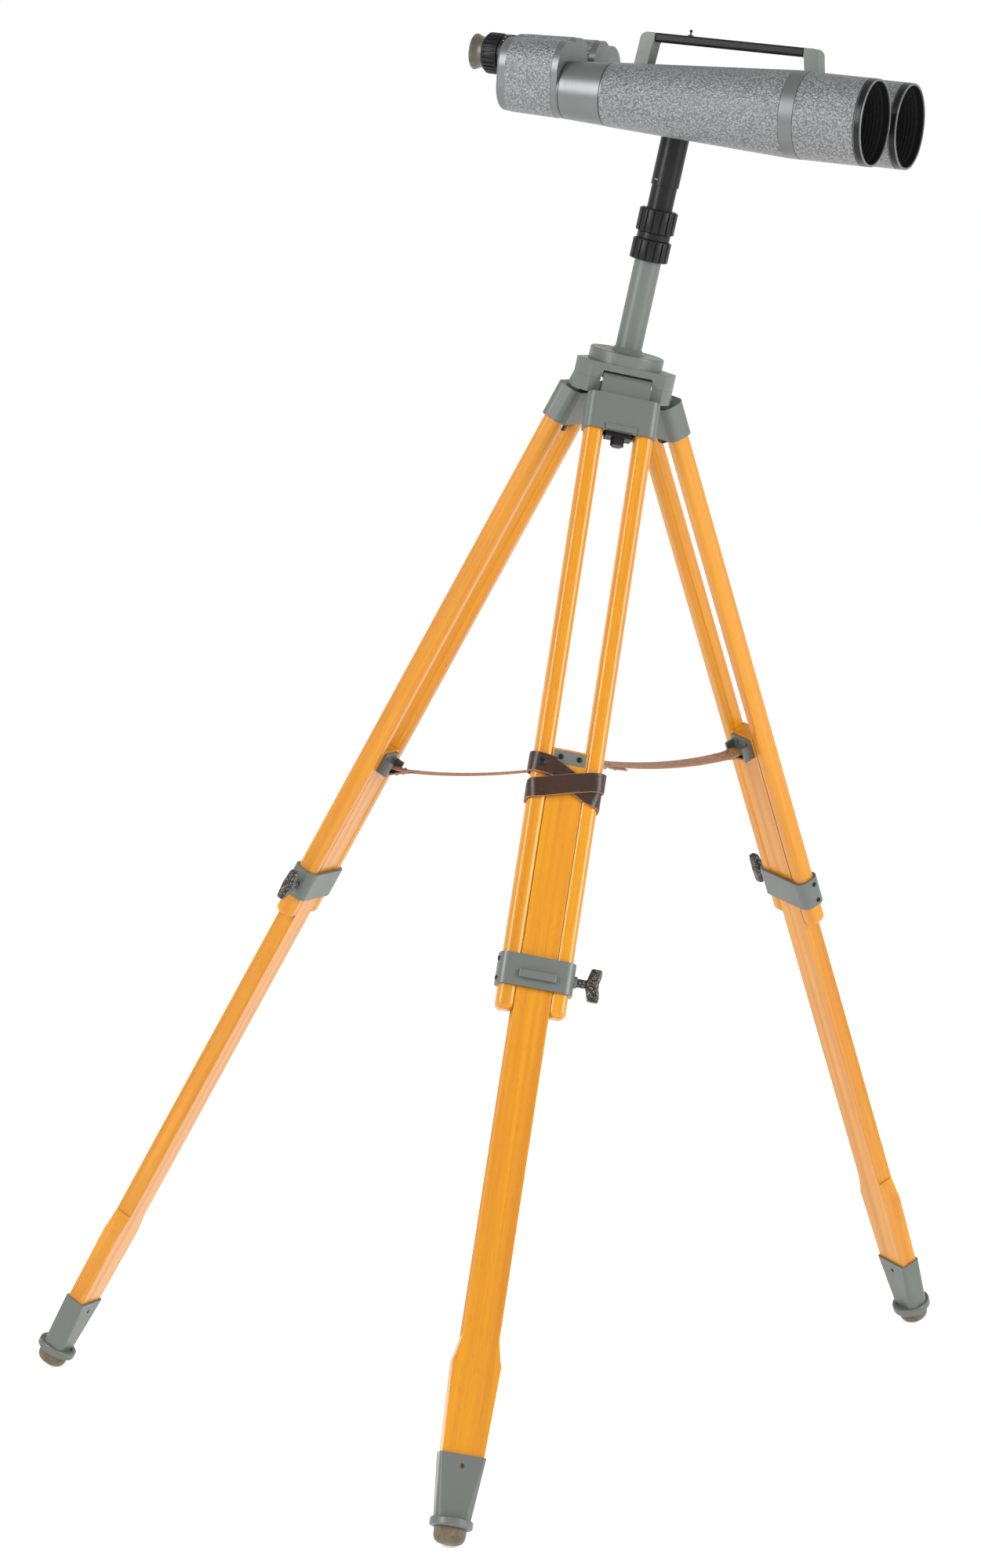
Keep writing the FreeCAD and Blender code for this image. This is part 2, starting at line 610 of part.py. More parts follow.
def handle_bracket(foot_x, ahead):
    """Bent end of the handle: leans towards the grip and rounds into it."""
    half = HANDLE_W / 2
    top = HANDLE_TOP

    def at(x, z):
        return V(foot_x + ahead * x, -half, z)

    bar = top - HANDLE_BAR_T
    bend_foot, bend_end = at(HANDLE_LEAN, top - 8.7), at(HANDLE_LEAN + 8.7, top)
    bend = Part.Arc(bend_foot, at(HANDLE_LEAN + 2.3, top - 2.6), bend_end).toShape()
    corners = [bend_end, at(HANDLE_REACH, top), at(HANDLE_REACH, bar), at(HANDLE_REACH - 1, bar - 1),
               at(HANDLE_FOOT, HANDLE_SEAT), at(0, HANDLE_SEAT), bend_foot]
    outline = Part.Wire([bend] + Part.makePolygon(corners).Edges)
    return Part.Face(outline).extrude(V(0, HANDLE_W, 0))


def handle_brackets():
    pair = [handle_bracket(HANDLE_REAR_X, 1), handle_bracket(HANDLE_FRONT_X, -1)]
    return Part.makeCompound([b.cut(tube_room()) for b in pair])


def handle_grip():
    start, end = HANDLE_REAR_X + HANDLE_REACH, HANDLE_FRONT_X - HANDLE_REACH
    grip = box(start, end, -HANDLE_W / 2 + 0.5, HANDLE_W / 2 - 0.5, HANDLE_TOP - HANDLE_BAR_T, HANDLE_TOP)
    long_edges = [e for e in grip.Edges if e.Length > 50]
    return grip.makeFillet(3, long_edges)


def front_sight():
    """Aiming bead on a thin post, standing on a small round foot."""
    foot, bead = HANDLE_TOP, HANDLE_TOP + 5.2
    return fused(rod(0.9, (0, 0, foot), (0, 0, bead)), Part.makeSphere(1.7, V(0, 0, bead)),
                 rod(3, (0, 0, foot), (0, 0, foot + 1.2)))


# ---- assembly ---------------------------------------------------------------------------------
def head_nodes():
    return {
        "platform_plate": platform_plate(),
        "clamp_plate": clamp_plate(),
        "hinge_pins": hinge_pins(),
        "stem": stem(),
        "centre_bolt": centre_bolt(),
        "lower_lock_ring": lock_ring(LOWER_RING, STEM_R + RUN),
        "upper_lock_ring": lock_ring(UPPER_RING, TUBE_R + RUN),
        "column_tube": column_tube(),
        "mount_sleeve": mount_sleeve(),
    }


def leg_nodes(side):
    nodes = {
        "leg_socket": leg_socket(),
        "stiles": stiles(),
        "clamp_band": clamp_band(),
        "wing_screw": wing_screw(),
        "lower_board": lower_board(side),
        "strap_bracket": strap_bracket(side),
        "ferrule": ferrule(side),
        "rubber_foot": rubber_foot(side),
    }
    return {f"{side}_{name}": shape for name, shape in nodes.items()}


def optics_nodes():
    nodes = {
        "centre_bridge": centre_bridge(),
        "tilt_pin": tilt_pin(),
        "end_bridges": end_bridges(),
        "handle_brackets": handle_brackets(),
        "handle_grip": handle_grip(),
        "front_sight": front_sight(),
    }
    makers = (objective_tube, dew_shield, objective_lens, prism_housing, prisms,
              eyepiece_barrel, focus_ring, eyecup)
    for side in ("left", "right"):
        for maker in makers:
            nodes[f"{side}_{maker.__name__}"] = maker(side)
    return nodes


def assembly():
    """Every node where it stands, with the origin still under the tripod head."""
    placed = {name: moved_by(s, head_frame()) for name, s in head_nodes().items()}
    for side in LEGS:
        placed.update({n: moved_by(s, leg_frame(side)) for n, s in leg_nodes(side).items()})
        placed[f"{side}_spreader_strap"] = moved_by(spreader_strap(side), strap_frame(side))
    placed["spreader_ring"] = moved_by(spreader_ring(), strap_frame(RING_SIDE))
    placed["binding_strap"] = moved_by(binding_strap(), leg_frame("right"))
    placed.update({n: moved_by(s, optics_frame()) for n, s in optics_nodes().items()})
    return placed


def centring_shift(shapes):
    """Move from the head's plumb point to the middle of the footprint."""
    bounds = Part.makeCompound(list(shapes)).optimalBoundingBox(False)
    return V(-bounds.Center.x, -bounds.Center.y, 0)


def main():
    os.makedirs("parts", exist_ok=True)
    placed = assembly()
    move = centring_shift(placed.values())
    print("nodes", len(placed), "shift", move)
    for name, shape in placed.items():
        shape.translate(move)
        shape.exportStep(f"parts/{name}.step")


if __name__ == "__main__":
    main()
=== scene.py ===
"""Looks of a pair of observation binoculars on a leaning wooden tripod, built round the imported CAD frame.

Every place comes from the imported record: the joints give the leaning head, the legs, the tubes and the
straps each a local frame, in which sizes are written in millimetres.
"""

import json
import math

import bmesh
import bpy
from bpy.props import FloatProperty, FloatVectorProperty, IntProperty, PointerProperty
from mathutils import Euler, Matrix, Vector

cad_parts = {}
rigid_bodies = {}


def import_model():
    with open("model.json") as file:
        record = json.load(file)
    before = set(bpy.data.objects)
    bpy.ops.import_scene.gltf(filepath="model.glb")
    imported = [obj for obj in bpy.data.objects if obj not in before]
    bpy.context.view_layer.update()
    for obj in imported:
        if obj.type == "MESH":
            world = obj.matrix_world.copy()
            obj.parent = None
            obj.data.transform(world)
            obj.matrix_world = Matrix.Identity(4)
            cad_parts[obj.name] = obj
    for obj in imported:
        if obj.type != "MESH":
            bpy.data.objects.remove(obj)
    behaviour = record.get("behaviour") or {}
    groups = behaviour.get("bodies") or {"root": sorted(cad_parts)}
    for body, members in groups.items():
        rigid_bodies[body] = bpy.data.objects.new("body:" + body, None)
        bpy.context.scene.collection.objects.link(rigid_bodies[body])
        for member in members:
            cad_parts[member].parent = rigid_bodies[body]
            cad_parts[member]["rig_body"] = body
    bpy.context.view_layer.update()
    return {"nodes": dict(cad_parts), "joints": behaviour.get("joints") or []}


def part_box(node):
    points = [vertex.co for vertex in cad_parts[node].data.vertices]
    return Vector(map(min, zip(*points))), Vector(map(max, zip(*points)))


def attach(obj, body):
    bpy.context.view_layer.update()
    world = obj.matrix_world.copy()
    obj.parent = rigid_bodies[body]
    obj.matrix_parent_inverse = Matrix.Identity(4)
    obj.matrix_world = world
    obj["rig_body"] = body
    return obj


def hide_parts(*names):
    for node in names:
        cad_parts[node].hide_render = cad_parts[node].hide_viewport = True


bl_info = {
    "name": "Observation Binoculars",
    "version": (1, 0, 0),
    "blender": (4, 5, 0),
    "location": "View3D > Sidebar > Binoculars",
    "description": "Builds large binoculars on a wooden tripod around a packed CAD frame",
    "category": "Object",
}

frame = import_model()
NODES = frame["nodes"]
JOINTS = {joint["name"]: joint for joint in frame["joints"]}
MM = 0.001
GLASS_IOR = 1.52
SIDES = ("right", "rear", "left")
EYES = ("left", "right")

# Sizes shared with the CAD model, in millimetres.
PIVOT_UP = 274.5
LOCK_RINGS = {"lower": (101.3, 124.4), "upper": (131.8, 157.4)}
LOCK_BORES = {"lower": 14.6, "upper": 14.0}
LOCK_RING_R = 20.8
SLEEVE_R, SLEEVE_BOTTOM = 15.25, 183.0
LEG_W, LEG_T, STILE_ROUND = 75.0, 22.0, 7.5
CLAMP_AT, CLAMP_WALL = 659.0, 3.6
BOARD_T, FOOT_R, FERRULE_UP, COLLAR_UP = 20.0, 17.0, 94.0, 24.0
RING_R, STRAP_SAG = 19.0, 7.0
TUBE_SPACING = 111.2
SEAM_X, COVER_X, BAND_X, SHIELD_X, RIM_X = -112.4, -60.8, 147.0, 162.3, 239.0
TUBE_REAR_R, TUBE_FRONT_R = 31.0, 45.8
HOUSING_REAR_X, DRAFT = -184.4, 2.2
LOBE_R, LOBE_TOP = 30.8, (-3.0, 21.4)
EYE_R, EYE_LOBE, EYE_FOOT = 23.5, (22.0, 33.0), (8.0, 6.0)
EYE_AXIS = (22.0, 30.7)
BARREL_X, RING_X, CUP_X = -200.0, -219.0, -233.5


# ---- local frames ----
def local_frame(origin, x, y):
    """Matrix from a local frame in millimetres to the row frame in metres."""
    x, y = Vector(x).normalized(), Vector(y).normalized()
    turned = Matrix((x, y, x.cross(y))).transposed().to_4x4()
    return Matrix.Translation(origin) @ turned @ Matrix.Scale(MM, 4)


def joint_axis(name):
    return Vector(JOINTS[name]["axis"])


def joint_place(name):
    return Vector(JOINTS[name]["pos_m"])


def head_frame():
    """Origin on top of the stem's flange, +Z up the column."""
    up, across = joint_axis("column_pan"), -joint_axis("binocular_tilt")
    origin = joint_place("binocular_tilt") - up * PIVOT_UP * MM
    return local_frame(origin, across.cross(up), across)


def optics_frame():
    """Origin on the tilt pin, +X ahead, +Y to the observer's left."""
    ahead, across = joint_axis("right_eye_width"), -joint_axis("binocular_tilt")
    return local_frame(joint_place("binocular_tilt"), ahead, across)


def leg_frame(side):
    """Origin on the leg's hinge pin, -Z down the leg, +X out of its outer face."""
    pin, up = joint_axis(f"{side}_leg_fold"), -joint_axis(f"{side}_leg_slide")
    return local_frame(joint_place(f"{side}_leg_fold"), pin.cross(up), pin)


def strap_frame(side):
    """Origin on the strap's pin, +Y along the pin, the ring's centre in the XY plane."""
    pin, start = -joint_axis(f"{side}_strap_swing"), joint_place(f"{side}_strap_swing")
    goal = ring_centre() - start
    return local_frame(start, goal - pin * goal.dot(pin), pin)


def ring_centre():
    low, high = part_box("spreader_ring")
    return (low + high) / 2


def leg_tip(side):
    """Hinge pin to the rubber tip, in millimetres."""
    place = LEG[side]
    down = -place.col[2].xyz.normalized()
    return (place.translation.z / MM - FOOT_R) / -down.z + FOOT_R


def compass(degrees):
    """Level unit vector at an angle from +X towards +Y."""
    a = math.radians(degrees)
    return Vector((math.cos(a), math.sin(a), 0))


HEAD, OPTICS = head_frame(), optics_frame()
LEG = {side: leg_frame(side) for side in SIDES}
STRAP = {side: strap_frame(side) for side in SIDES}
ALONG_X = Matrix.Rotation(math.radians(90), 4, "Y")


def eye_sign(side):
    return 1 if side == "left" else -1


def tube_frame(side):
    """The tube's axis as local +Z, with the optics frame's X as height."""
    return OPTICS @ Matrix.Translation((0, eye_sign(side) * TUBE_SPACING / 2, 0)) @ ALONG_X


def eyepiece_frame(side):
    inward, up = EYE_AXIS
    y = eye_sign(side) * (TUBE_SPACING / 2 - inward)
    return OPTICS @ Matrix.Translation((0, y, up)) @ ALONG_X


# ---- settings ----
def colour(label, about, value):
    return FloatVectorProperty(name=label, description=about, default=value, size=3, min=0, max=1,
                               subtype="COLOR")


def length(label, about, value):
    return FloatProperty(name=label, description=about, default=value, min=0, unit="LENGTH")


class BinocularColours(bpy.types.PropertyGroup):
    """Base colours of the finishes."""
    wood: colour("Wood", "Varnished wood in the light grain", (0.54, 0.228, 0.002))
    wood_dark: colour("Wood Figure", "Varnished wood in the dark grain", (0.43, 0.155, 0.002))
    enamel: colour("Enamel", "Grey paint of the tripod's metal", (0.098, 0.109, 0.099))
    satin: colour("Satin", "Smooth grey metal of the tubes", (0.125, 0.13, 0.13))
    cover: colour("Covering", "Pebbled covering on its peaks", (0.25, 0.255, 0.258))
    # Painted shade: the dark colour laid into the covering's furrows between the pebbles
    cover_furrow_shade: colour("Covering Pits", "Pebbled covering in its furrows", (0.085, 0.087, 0.09))
    black: colour("Black", "Black paint and plastic", (0.010, 0.010, 0.010))
    leather: colour("Dark Leather", "Binding strap", (0.034, 0.014, 0.008))
    tan: colour("Tan Leather", "Spreader straps and cut edges", (0.30, 0.155, 0.085))
    eyecup: colour("Eyecup", "Olive rubber of the eyecups", (0.085, 0.080, 0.058))
    foot: colour("Foot Rubber", "Worn rubber of the feet", (0.115, 0.092, 0.056))
    floor: colour("Floor", "Studio floor", (0.93, 0.93, 0.93))


class BinocularSizes(bpy.types.PropertyGroup):
    """Sizes of the details that the CAD frame doesn't hold."""
    cover_rise: length("Covering Rise", "How far the pebbled covering stands proud", 0.00045)
    lock_ribs: IntProperty(name="Lock Ring Ribs", description="Ribs round a lock ring", default=16, min=3)
    focus_ribs: IntProperty(name="Focus Ring Ribs", description="Ribs round a focus ring", default=26, min=3)
    strap_thickness: length("Strap Thickness", "Thickness of the spreader straps", 0.0022)
    strap_width: length("Strap Width", "Width of the spreader straps", 0.022)
    binding_thickness: length("Binding Thickness", "Thickness of the binding strap", 0.0024)
    binding_width: length("Binding Width", "Width of the binding strap", 0.021)
    screw_radius: length("Screw Radius", "Radius of the slotted screw heads", 0.003)
    wall_round: length("Edge Rounding", "Rounding of the cast and machined edges", 0.0009)
    lens: FloatProperty(name="Lens", description="Camera focal length in millimetres", default=121.3, min=10)
    camera_offset: FloatVectorProperty(name="Camera", description="Camera from the stem's flange",
                                       default=(2.16443, -5.30024, 0.30489), size=3, unit="LENGTH")
    camera_turn: FloatVectorProperty(name="Camera Turn", description="Camera pitch, roll and heading",
                                     default=(math.radians(82.26), 0, math.radians(23.64)), size=3,
                                     unit="ROTATION")
    camera_roll: FloatProperty(name="Camera Roll", description="Camera turned about its own line of sight",
                               default=math.radians(0.7), unit="ROTATION")


def colours():
    return bpy.context.scene.binocular_colours


def sizes():
    return bpy.context.scene.binocular_sizes


def in_mm(name):
    return getattr(sizes(), name) / MM


# ---- node graphs ----
class Graph:
    """Adds nodes to a tree; a socket's value is either a constant or another node's output."""

    def __init__(self, tree):
        self.tree = tree

    def add(self, kind, sockets=None, **settings):
        node = self.tree.nodes.new(kind)
        for name, value in settings.items():
            setattr(node, name, value)
        for name, value in (sockets or {}).items():
            self.feed(node.inputs[name], value)
        return node

    def feed(self, socket, value):
        if isinstance(value, bpy.types.NodeSocket):
            self.tree.links.new(value, socket)
        else:
            socket.default_value = value

    def times(self, first, second):
        return self.add("ShaderNodeMath", {0: first, 1: second}, operation="MULTIPLY").outputs[0]


class Finish(Graph):
    """A procedural material on Object coordinates, in metres, turned into a local frame if one is given."""

    def __init__(self, name, place=None):
        self.material = bpy.data.materials.new(name)
        self.material.use_nodes = True
        super().__init__(self.material.node_tree)
        self.shader = self.tree.nodes["Principled BSDF"]
        self.where = self.add("ShaderNodeTexCoord").outputs["Object"]
        if place is not None:
            back = (place @ Matrix.Scale(1 / MM, 4)).inverted()
            self.where = self.add("ShaderNodeMapping", {
                "Vector": self.where, "Location": back.translation, "Rotation": back.to_euler()}).outputs[0]

    def stretched(self, scale):
        return self.add("ShaderNodeMapping", {"Vector": self.where, "Scale": scale}).outputs[0]

    def noise(self, scale, detail=3.0, roughness=0.55, distortion=0.0):
        """Noise with a number of features to the metre, the same or different in x, y and z."""
        if isinstance(scale, (int, float)):
            scale = (scale,) * 3
        return self.add("ShaderNodeTexNoise", {
            "Vector": self.stretched(scale), "Scale": 1.0, "Detail": detail, "Roughness": roughness,
            "Distortion": distortion}).outputs[0]

    def cells(self, scale, wander=0.0, feature="SMOOTH_F1", smooth=0.6):
        """Distance to the middle of rounded cells, their places stirred by a noise."""
        if isinstance(scale, (int, float)):
            scale = (scale,) * 3
        where = self.stretched(scale)
        if wander:
            stir = self.add("ShaderNodeTexNoise", {"Vector": where, "Scale": 0.7, "Detail": 1.0})
            where = self.add("ShaderNodeVectorMath", {0: stir.outputs["Color"], 1: (wander,) * 3, 2: where},
                             operation="MULTIPLY_ADD").outputs[0]
        sockets = {"Vector": where, "Scale": 1.0}
        if feature == "SMOOTH_F1":
            sockets["Smoothness"] = smooth
        return self.add("ShaderNodeTexVoronoi", sockets, feature=feature).outputs["Distance"]

    def between(self, value, low, high, out_low=0.0, out_high=1.0):
        return self.add("ShaderNodeMapRange", {
            "Value": value, "From Min": low, "From Max": high,
            "To Min": out_low, "To Max": out_high}).outputs[0]

    def mixed(self, share, first, second):
        node = self.add("ShaderNodeMix", data_type="RGBA")
        self.feed(node.inputs[0], share)
        for socket, value in ((node.inputs[6], first), (node.inputs[7], second)):
            if not isinstance(value, bpy.types.NodeSocket):
                value = (*value, 1.0)
            self.feed(socket, value)
        return node.outputs[2]

    def bumped(self, height, strength, distance, under=None):
        sockets = {"Height": height, "Strength": strength, "Distance": distance}
        if under is not None:
            sockets["Normal"] = under
        return self.add("ShaderNodeBump", sockets).outputs[0]

    def done(self, **sockets):
        names = {"base": "Base Color", "roughness": "Roughness", "metallic": "Metallic", "normal": "Normal",
                 "coat": "Coat Weight", "coat_roughness": "Coat Roughness", "specular": "Specular IOR Level",
                 "transmission": "Transmission Weight", "ior": "IOR", "sheen": "Sheen Weight",
                 "glow": "Emission Strength", "glow_colour": "Emission Color"}
        for name, value in sockets.items():
            if name in ("base", "glow_colour") and not isinstance(value, bpy.types.NodeSocket):
                value = (*value, 1.0)
            self.feed(self.shader.inputs[names[name]], value)
        return self.material


# ---- finishes ----
def varnished_wood(side):
    """Honey varnish over beech: long figure, fine fibres, short dark flecks and a few nicks."""
    f = Finish(f"varnished_wood_{side}", LEG[side])
    figure = f.noise((70, 70, 1.6), detail=4, distortion=0.7)
    fibre = f.noise((900, 900, 12), detail=3)
    fleck = f.between(f.cells((620, 420, 62), wander=1.2), 0.10, 0.26, 1.0, 0.0)
    grime = f.between(f.noise((14, 14, 5), detail=5), 0.58, 0.78)
    nick = f.between(f.cells((70, 90, 11), wander=2.0, feature="F1"), 0.0, 0.045, 1.0, 0.0)
    base = f.mixed(f.between(figure, 0.36, 0.66), colours().wood, colours().wood_dark)
    base = f.mixed(f.between(fibre, 0.35, 0.75, 0.0, 0.35), base, (0.38, 0.115, 0.004))
    base = f.mixed(f.times(fleck, 0.30), base, (0.30, 0.085, 0.008))
    base = f.mixed(f.times(grime, 0.22), base, (0.34, 0.11, 0.012))
    base = f.mixed(f.times(nick, 0.75), base, (0.13, 0.045, 0.012))
    normal = f.bumped(fibre, 0.10, 0.0002)
    normal = f.bumped(nick, 0.5, 0.0004, normal)
    return f.done(base=base, roughness=f.between(figure, 0.3, 0.7, 0.30, 0.40), normal=normal,
                  coat=0.35, coat_roughness=0.10, specular=0.3)


def grey_enamel():
    """Sprayed grey paint with a faint orange peel and rubbed spots."""
    f = Finish("grey_enamel")
    peel = f.noise(950, detail=2)
    cloud = f.noise(24, detail=5)
    rubbed = f.between(f.noise(150, detail=6, roughness=0.7), 0.70, 0.74)
    base = f.mixed(f.between(cloud, 0.3, 0.7, 0.0, 0.35), colours().enamel, (0.080, 0.089, 0.080))
    base = f.mixed(f.times(rubbed, 0.4), base, (0.22, 0.23, 0.21))
    normal = f.bumped(peel, 0.12, 0.0003)
    return f.done(base=base, roughness=f.between(cloud, 0.3, 0.7, 0.32, 0.44), normal=normal)


def satin_grey():
    """Fine satin lacquer over turned aluminium."""
    f = Finish("satin_grey", OPTICS)
    turned = f.noise((1500, 60, 60), detail=2)
    cloud = f.noise(30, detail=4)
    base = f.mixed(f.between(cloud, 0.3, 0.7, 0.0, 0.3), colours().satin, (0.10, 0.105, 0.105))
    return f.done(base=base, metallic=0.4, roughness=f.between(turned, 0.3, 0.7, 0.34, 0.42),
                  normal=f.bumped(turned, 0.02, 0.0001), coat=0.15, coat_roughness=0.4)


def pebbled_covering():
    """Stuck-on covering pressed with small wrinkled pebbles, with shade painted darker into the furrows
    between them.
    """
    f = Finish("pebbled_covering", OPTICS)
    pebble = f.cells((420, 500, 500), wander=1.1)
    grit = f.noise(2600, detail=2)
    tone = f.noise(26, detail=3)
    # Painted shade: the furrows between the pebbles take the dark colour, and the peaks keep the covering's
    # own colour
    base = f.mixed(f.between(pebble, 0.18, 0.62), colours().cover, colours().cover_furrow_shade)
    base = f.mixed(f.between(tone, 0.3, 0.7, 0.0, 0.28), base, (0.13, 0.132, 0.135))
    normal = f.bumped(pebble, 0.9, -0.0011)
    normal = f.bumped(grit, 0.18, 0.0002, normal)
    return f.done(base=base, roughness=f.between(grit, 0.3, 0.7, 0.30, 0.46), normal=normal, specular=0.65)


def black_finish(name, low, high, grain, bump):
    """Black paint or plastic: its gloss and the size of its grain."""
    f = Finish(name)
    fine = f.noise(grain, detail=3)
    dust = f.between(f.noise(420, detail=6, roughness=0.75), 0.66, 0.72)
    base = f.mixed(f.times(dust, 0.05), colours().black, (0.20, 0.19, 0.17))
    return f.done(base=base, roughness=f.between(fine, 0.3, 0.7, low, high),
                  normal=f.bumped(fine, bump, 0.0002), specular=0.18)


def worn_black():
    """Black enamel rubbed to bare metal in specks, for the wing screws."""
    f = Finish("worn_black")
    speck = f.between(f.noise(620, detail=5, roughness=0.7), 0.56, 0.60)
    base = f.mixed(speck, (0.016, 0.016, 0.014), (0.30, 0.28, 0.22))
    return f.done(base=base, roughness=f.between(speck, 0, 1, 0.30, 0.48), metallic=0.2, specular=0.35,
                  normal=f.bumped(speck, 0.3, -0.0002))


def leather(name, base_colour, scuff_colour, gloss):
    """Leather with fine grain, creases and scuffs."""
    f = Finish(name)
    grain = f.cells(1500, wander=0.8)
    crease = f.noise((160, 160, 300), detail=5, distortion=0.8)
    scuff = f.between(f.noise(85, detail=6, roughness=0.7), 0.60, 0.72)
    base = f.mixed(f.between(crease, 0.35, 0.7, 0.0, 0.5), base_colour, [c * 0.45 for c in base_colour])
    base = f.mixed(f.times(scuff, 0.35), base, scuff_colour)
    normal = f.bumped(grain, 0.35, -0.0003)
    normal = f.bumped(crease, 0.3, 0.0006, normal)
    return f.done(base=base, roughness=f.between(crease, 0.3, 0.7, gloss, gloss + 0.14), normal=normal,
                  coat=0.08, coat_roughness=0.25, specular=0.3)


def cut_leather():
    """Raw fibrous edge of a strap."""
    f = Finish("cut_leather")
    fibre = f.noise((1400, 1400, 1400), detail=4)
    base = f.mixed(f.between(fibre, 0.3, 0.7), colours().tan, (0.17, 0.075, 0.036))
    return f.done(base=base, roughness=0.75, normal=f.bumped(fibre, 0.5, 0.0003))


def rubber(name, base_colour, worn_colour, low, high):
    """Pitted rubber, worn in clouds, between two roughnesses."""
    f = Finish(name)
    cloud = f.noise(120, detail=5, roughness=0.65)
    pit = f.noise(1400, detail=2)
    base = f.mixed(f.between(cloud, 0.42, 0.62), base_colour, worn_colour)
    return f.done(base=base, roughness=f.between(cloud, 0.3, 0.7, low, high),
                  normal=f.bumped(pit, 0.3, 0.0003), sheen=0.15)


def bare_steel():
    """Dull steel with a fine grain."""
    f = Finish("bare_steel")
    fine = f.noise(800, detail=3)
    base = f.mixed(fine, (0.42, 0.42, 0.41), (0.27, 0.27, 0.26))
    return f.done(base=base, metallic=1.0, roughness=f.between(fine, 0.3, 0.7, 0.28, 0.42))


def coated_glass(name, tint):
    """Glass with a faint coating and a few smears."""
    f = Finish(name)
    smear = f.noise(60, detail=3)
    return f.done(base=tint, roughness=f.between(smear, 0.3, 0.8, 0.0, 0.03), transmission=1.0,
                  ior=GLASS_IOR, coat=0.6)


def white_mark():
    """Worn white paint of the scale's dots."""
    f = Finish("white_mark")
    wear = f.noise(900, detail=3)
    return f.done(base=f.mixed(wear, (0.85, 0.85, 0.82), (0.55, 0.55, 0.52)), roughness=0.5)


FINISHES = {}


def make_finishes():
    """Every finish by the short name the pieces use."""
    FINISHES.update({
        "enamel": grey_enamel(),
        "satin": satin_grey(),
        "cover": pebbled_covering(),
        "gloss_black": black_finish("gloss_black", 0.28, 0.34, 700, 0.01),
        "satin_black": black_finish("satin_black", 0.32, 0.46, 1400, 0.2),
        "flat_black": black_finish("flat_black", 0.7, 0.9, 2200, 0.4),
        "worn_black": worn_black(),
        "brown_leather": leather("brown_leather", colours().leather, (0.20, 0.11, 0.07), 0.24),
        "tan_leather": leather("tan_leather", colours().tan, (0.42, 0.28, 0.19), 0.5),
        "cut_leather": cut_leather(),
        "eyecup": rubber("olive_rubber", colours().eyecup, (0.055, 0.05, 0.034), 0.34, 0.48),
        "foot": rubber("foot_rubber", colours().foot, (0.085, 0.062, 0.036), 0.7, 0.9),
        "steel": bare_steel(),
        "lens": coated_glass("lens_glass", (0.78, 0.82, 0.86)),
        "prism": coated_glass("prism_glass", (0.95, 0.96, 0.95)),
        "mark": white_mark(),
    })
    for side in SIDES:
        FINISHES[f"wood_{side}"] = varnished_wood(side)


# ---- mesh building ----
def shade(mesh, degrees=32):
    """Smooth faces, with sharp edges where they meet at more than an angle."""
    bm = bmesh.new()
    bm.from_mesh(mesh)
    for face in bm.faces:
        face.smooth = True
    for edge in bm.edges:
        edge.smooth = len(edge.link_faces) != 2 or edge.calc_face_angle(0) < math.radians(degrees)
    bm.to_mesh(mesh)
    bm.free()


def baked(piece):
    """The piece with its modifiers turned into plain mesh."""
    evaluated = piece.evaluated_get(bpy.context.evaluated_depsgraph_get())
    mesh = bpy.data.meshes.new_from_object(evaluated)
    piece.modifiers.clear()
    old, piece.data = piece.data, mesh
    bpy.data.meshes.remove(old)
    mesh.name = piece.name
    return piece


def linked(name, mesh):
    piece = bpy.data.objects.new(name, mesh)
    bpy.context.scene.collection.objects.link(piece)
    return piece


def rounded(piece, width, segments=2, degrees=34):
    """Rounds every edge sharper than an angle; width in metres."""
    bevel = piece.modifiers.new("edge_round", "BEVEL")
    bevel.width = width
    bevel.segments = segments
    bevel.limit_method = "ANGLE"
    bevel.angle_limit = math.radians(degrees)
    even = piece.modifiers.new("even_normals", "WEIGHTED_NORMAL")
    even.keep_sharp = True
    bpy.context.view_layer.update()
    return baked(piece)


def as_piece(name, bm, place, finishes, body, slot, stands_for=(), rounding=0.0):
    """Turns a closed mesh in a local frame into a finished piece on its body."""
    bmesh.ops.remove_doubles(bm, verts=bm.verts, dist=1e-4)
    bm.transform(place)
    bmesh.ops.recalc_face_normals(bm, faces=bm.faces)
    mesh = bpy.data.meshes.new(name)
    bm.to_mesh(mesh)
    bm.free()
    for finish in finishes:
        mesh.materials.append(FINISHES[finish])
    piece = linked(name, mesh)
    if rounding:
        shade(mesh)
        rounded(piece, rounding)
    else:
        shade(mesh)
    return on_body(piece, body, slot, stands_for)


def on_body(piece, body, slot, stands_for=()):
    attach(piece, body)
    if stands_for:
        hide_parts(*stands_for)
    return piece


def softened(node, finish, slot, width=None):
    """Copy of a CAD node with its edges rounded; it stands for the node."""
    bm = bmesh.new()
    bm.from_mesh(NODES[node].data)
    bmesh.ops.remove_doubles(bm, verts=bm.verts, dist=2e-6)
    bmesh.ops.dissolve_limit(bm, angle_limit=math.radians(0.6), verts=bm.verts, edges=bm.edges)
    for face in bm.faces:
        face.material_index = 0
    mesh = bpy.data.meshes.new(f"{node}_body")
    bm.to_mesh(mesh)
    bm.free()
    mesh.materials.append(FINISHES[finish])
    for face in mesh.polygons:
        face.use_smooth = True
    piece = linked(mesh.name, mesh)
    rounded(piece, width or sizes().wall_round)
    return on_body(piece, NODES[node]["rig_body"], slot, [node])


def enamelled(node, width=None):
    softened(node, "enamel", "grey_paint", width)


def repaint(node, finish):
    """Gives a CAD node that keeps its own shape a better material."""
    for held in NODES[node].material_slots:
        held.material = FINISHES[finish]


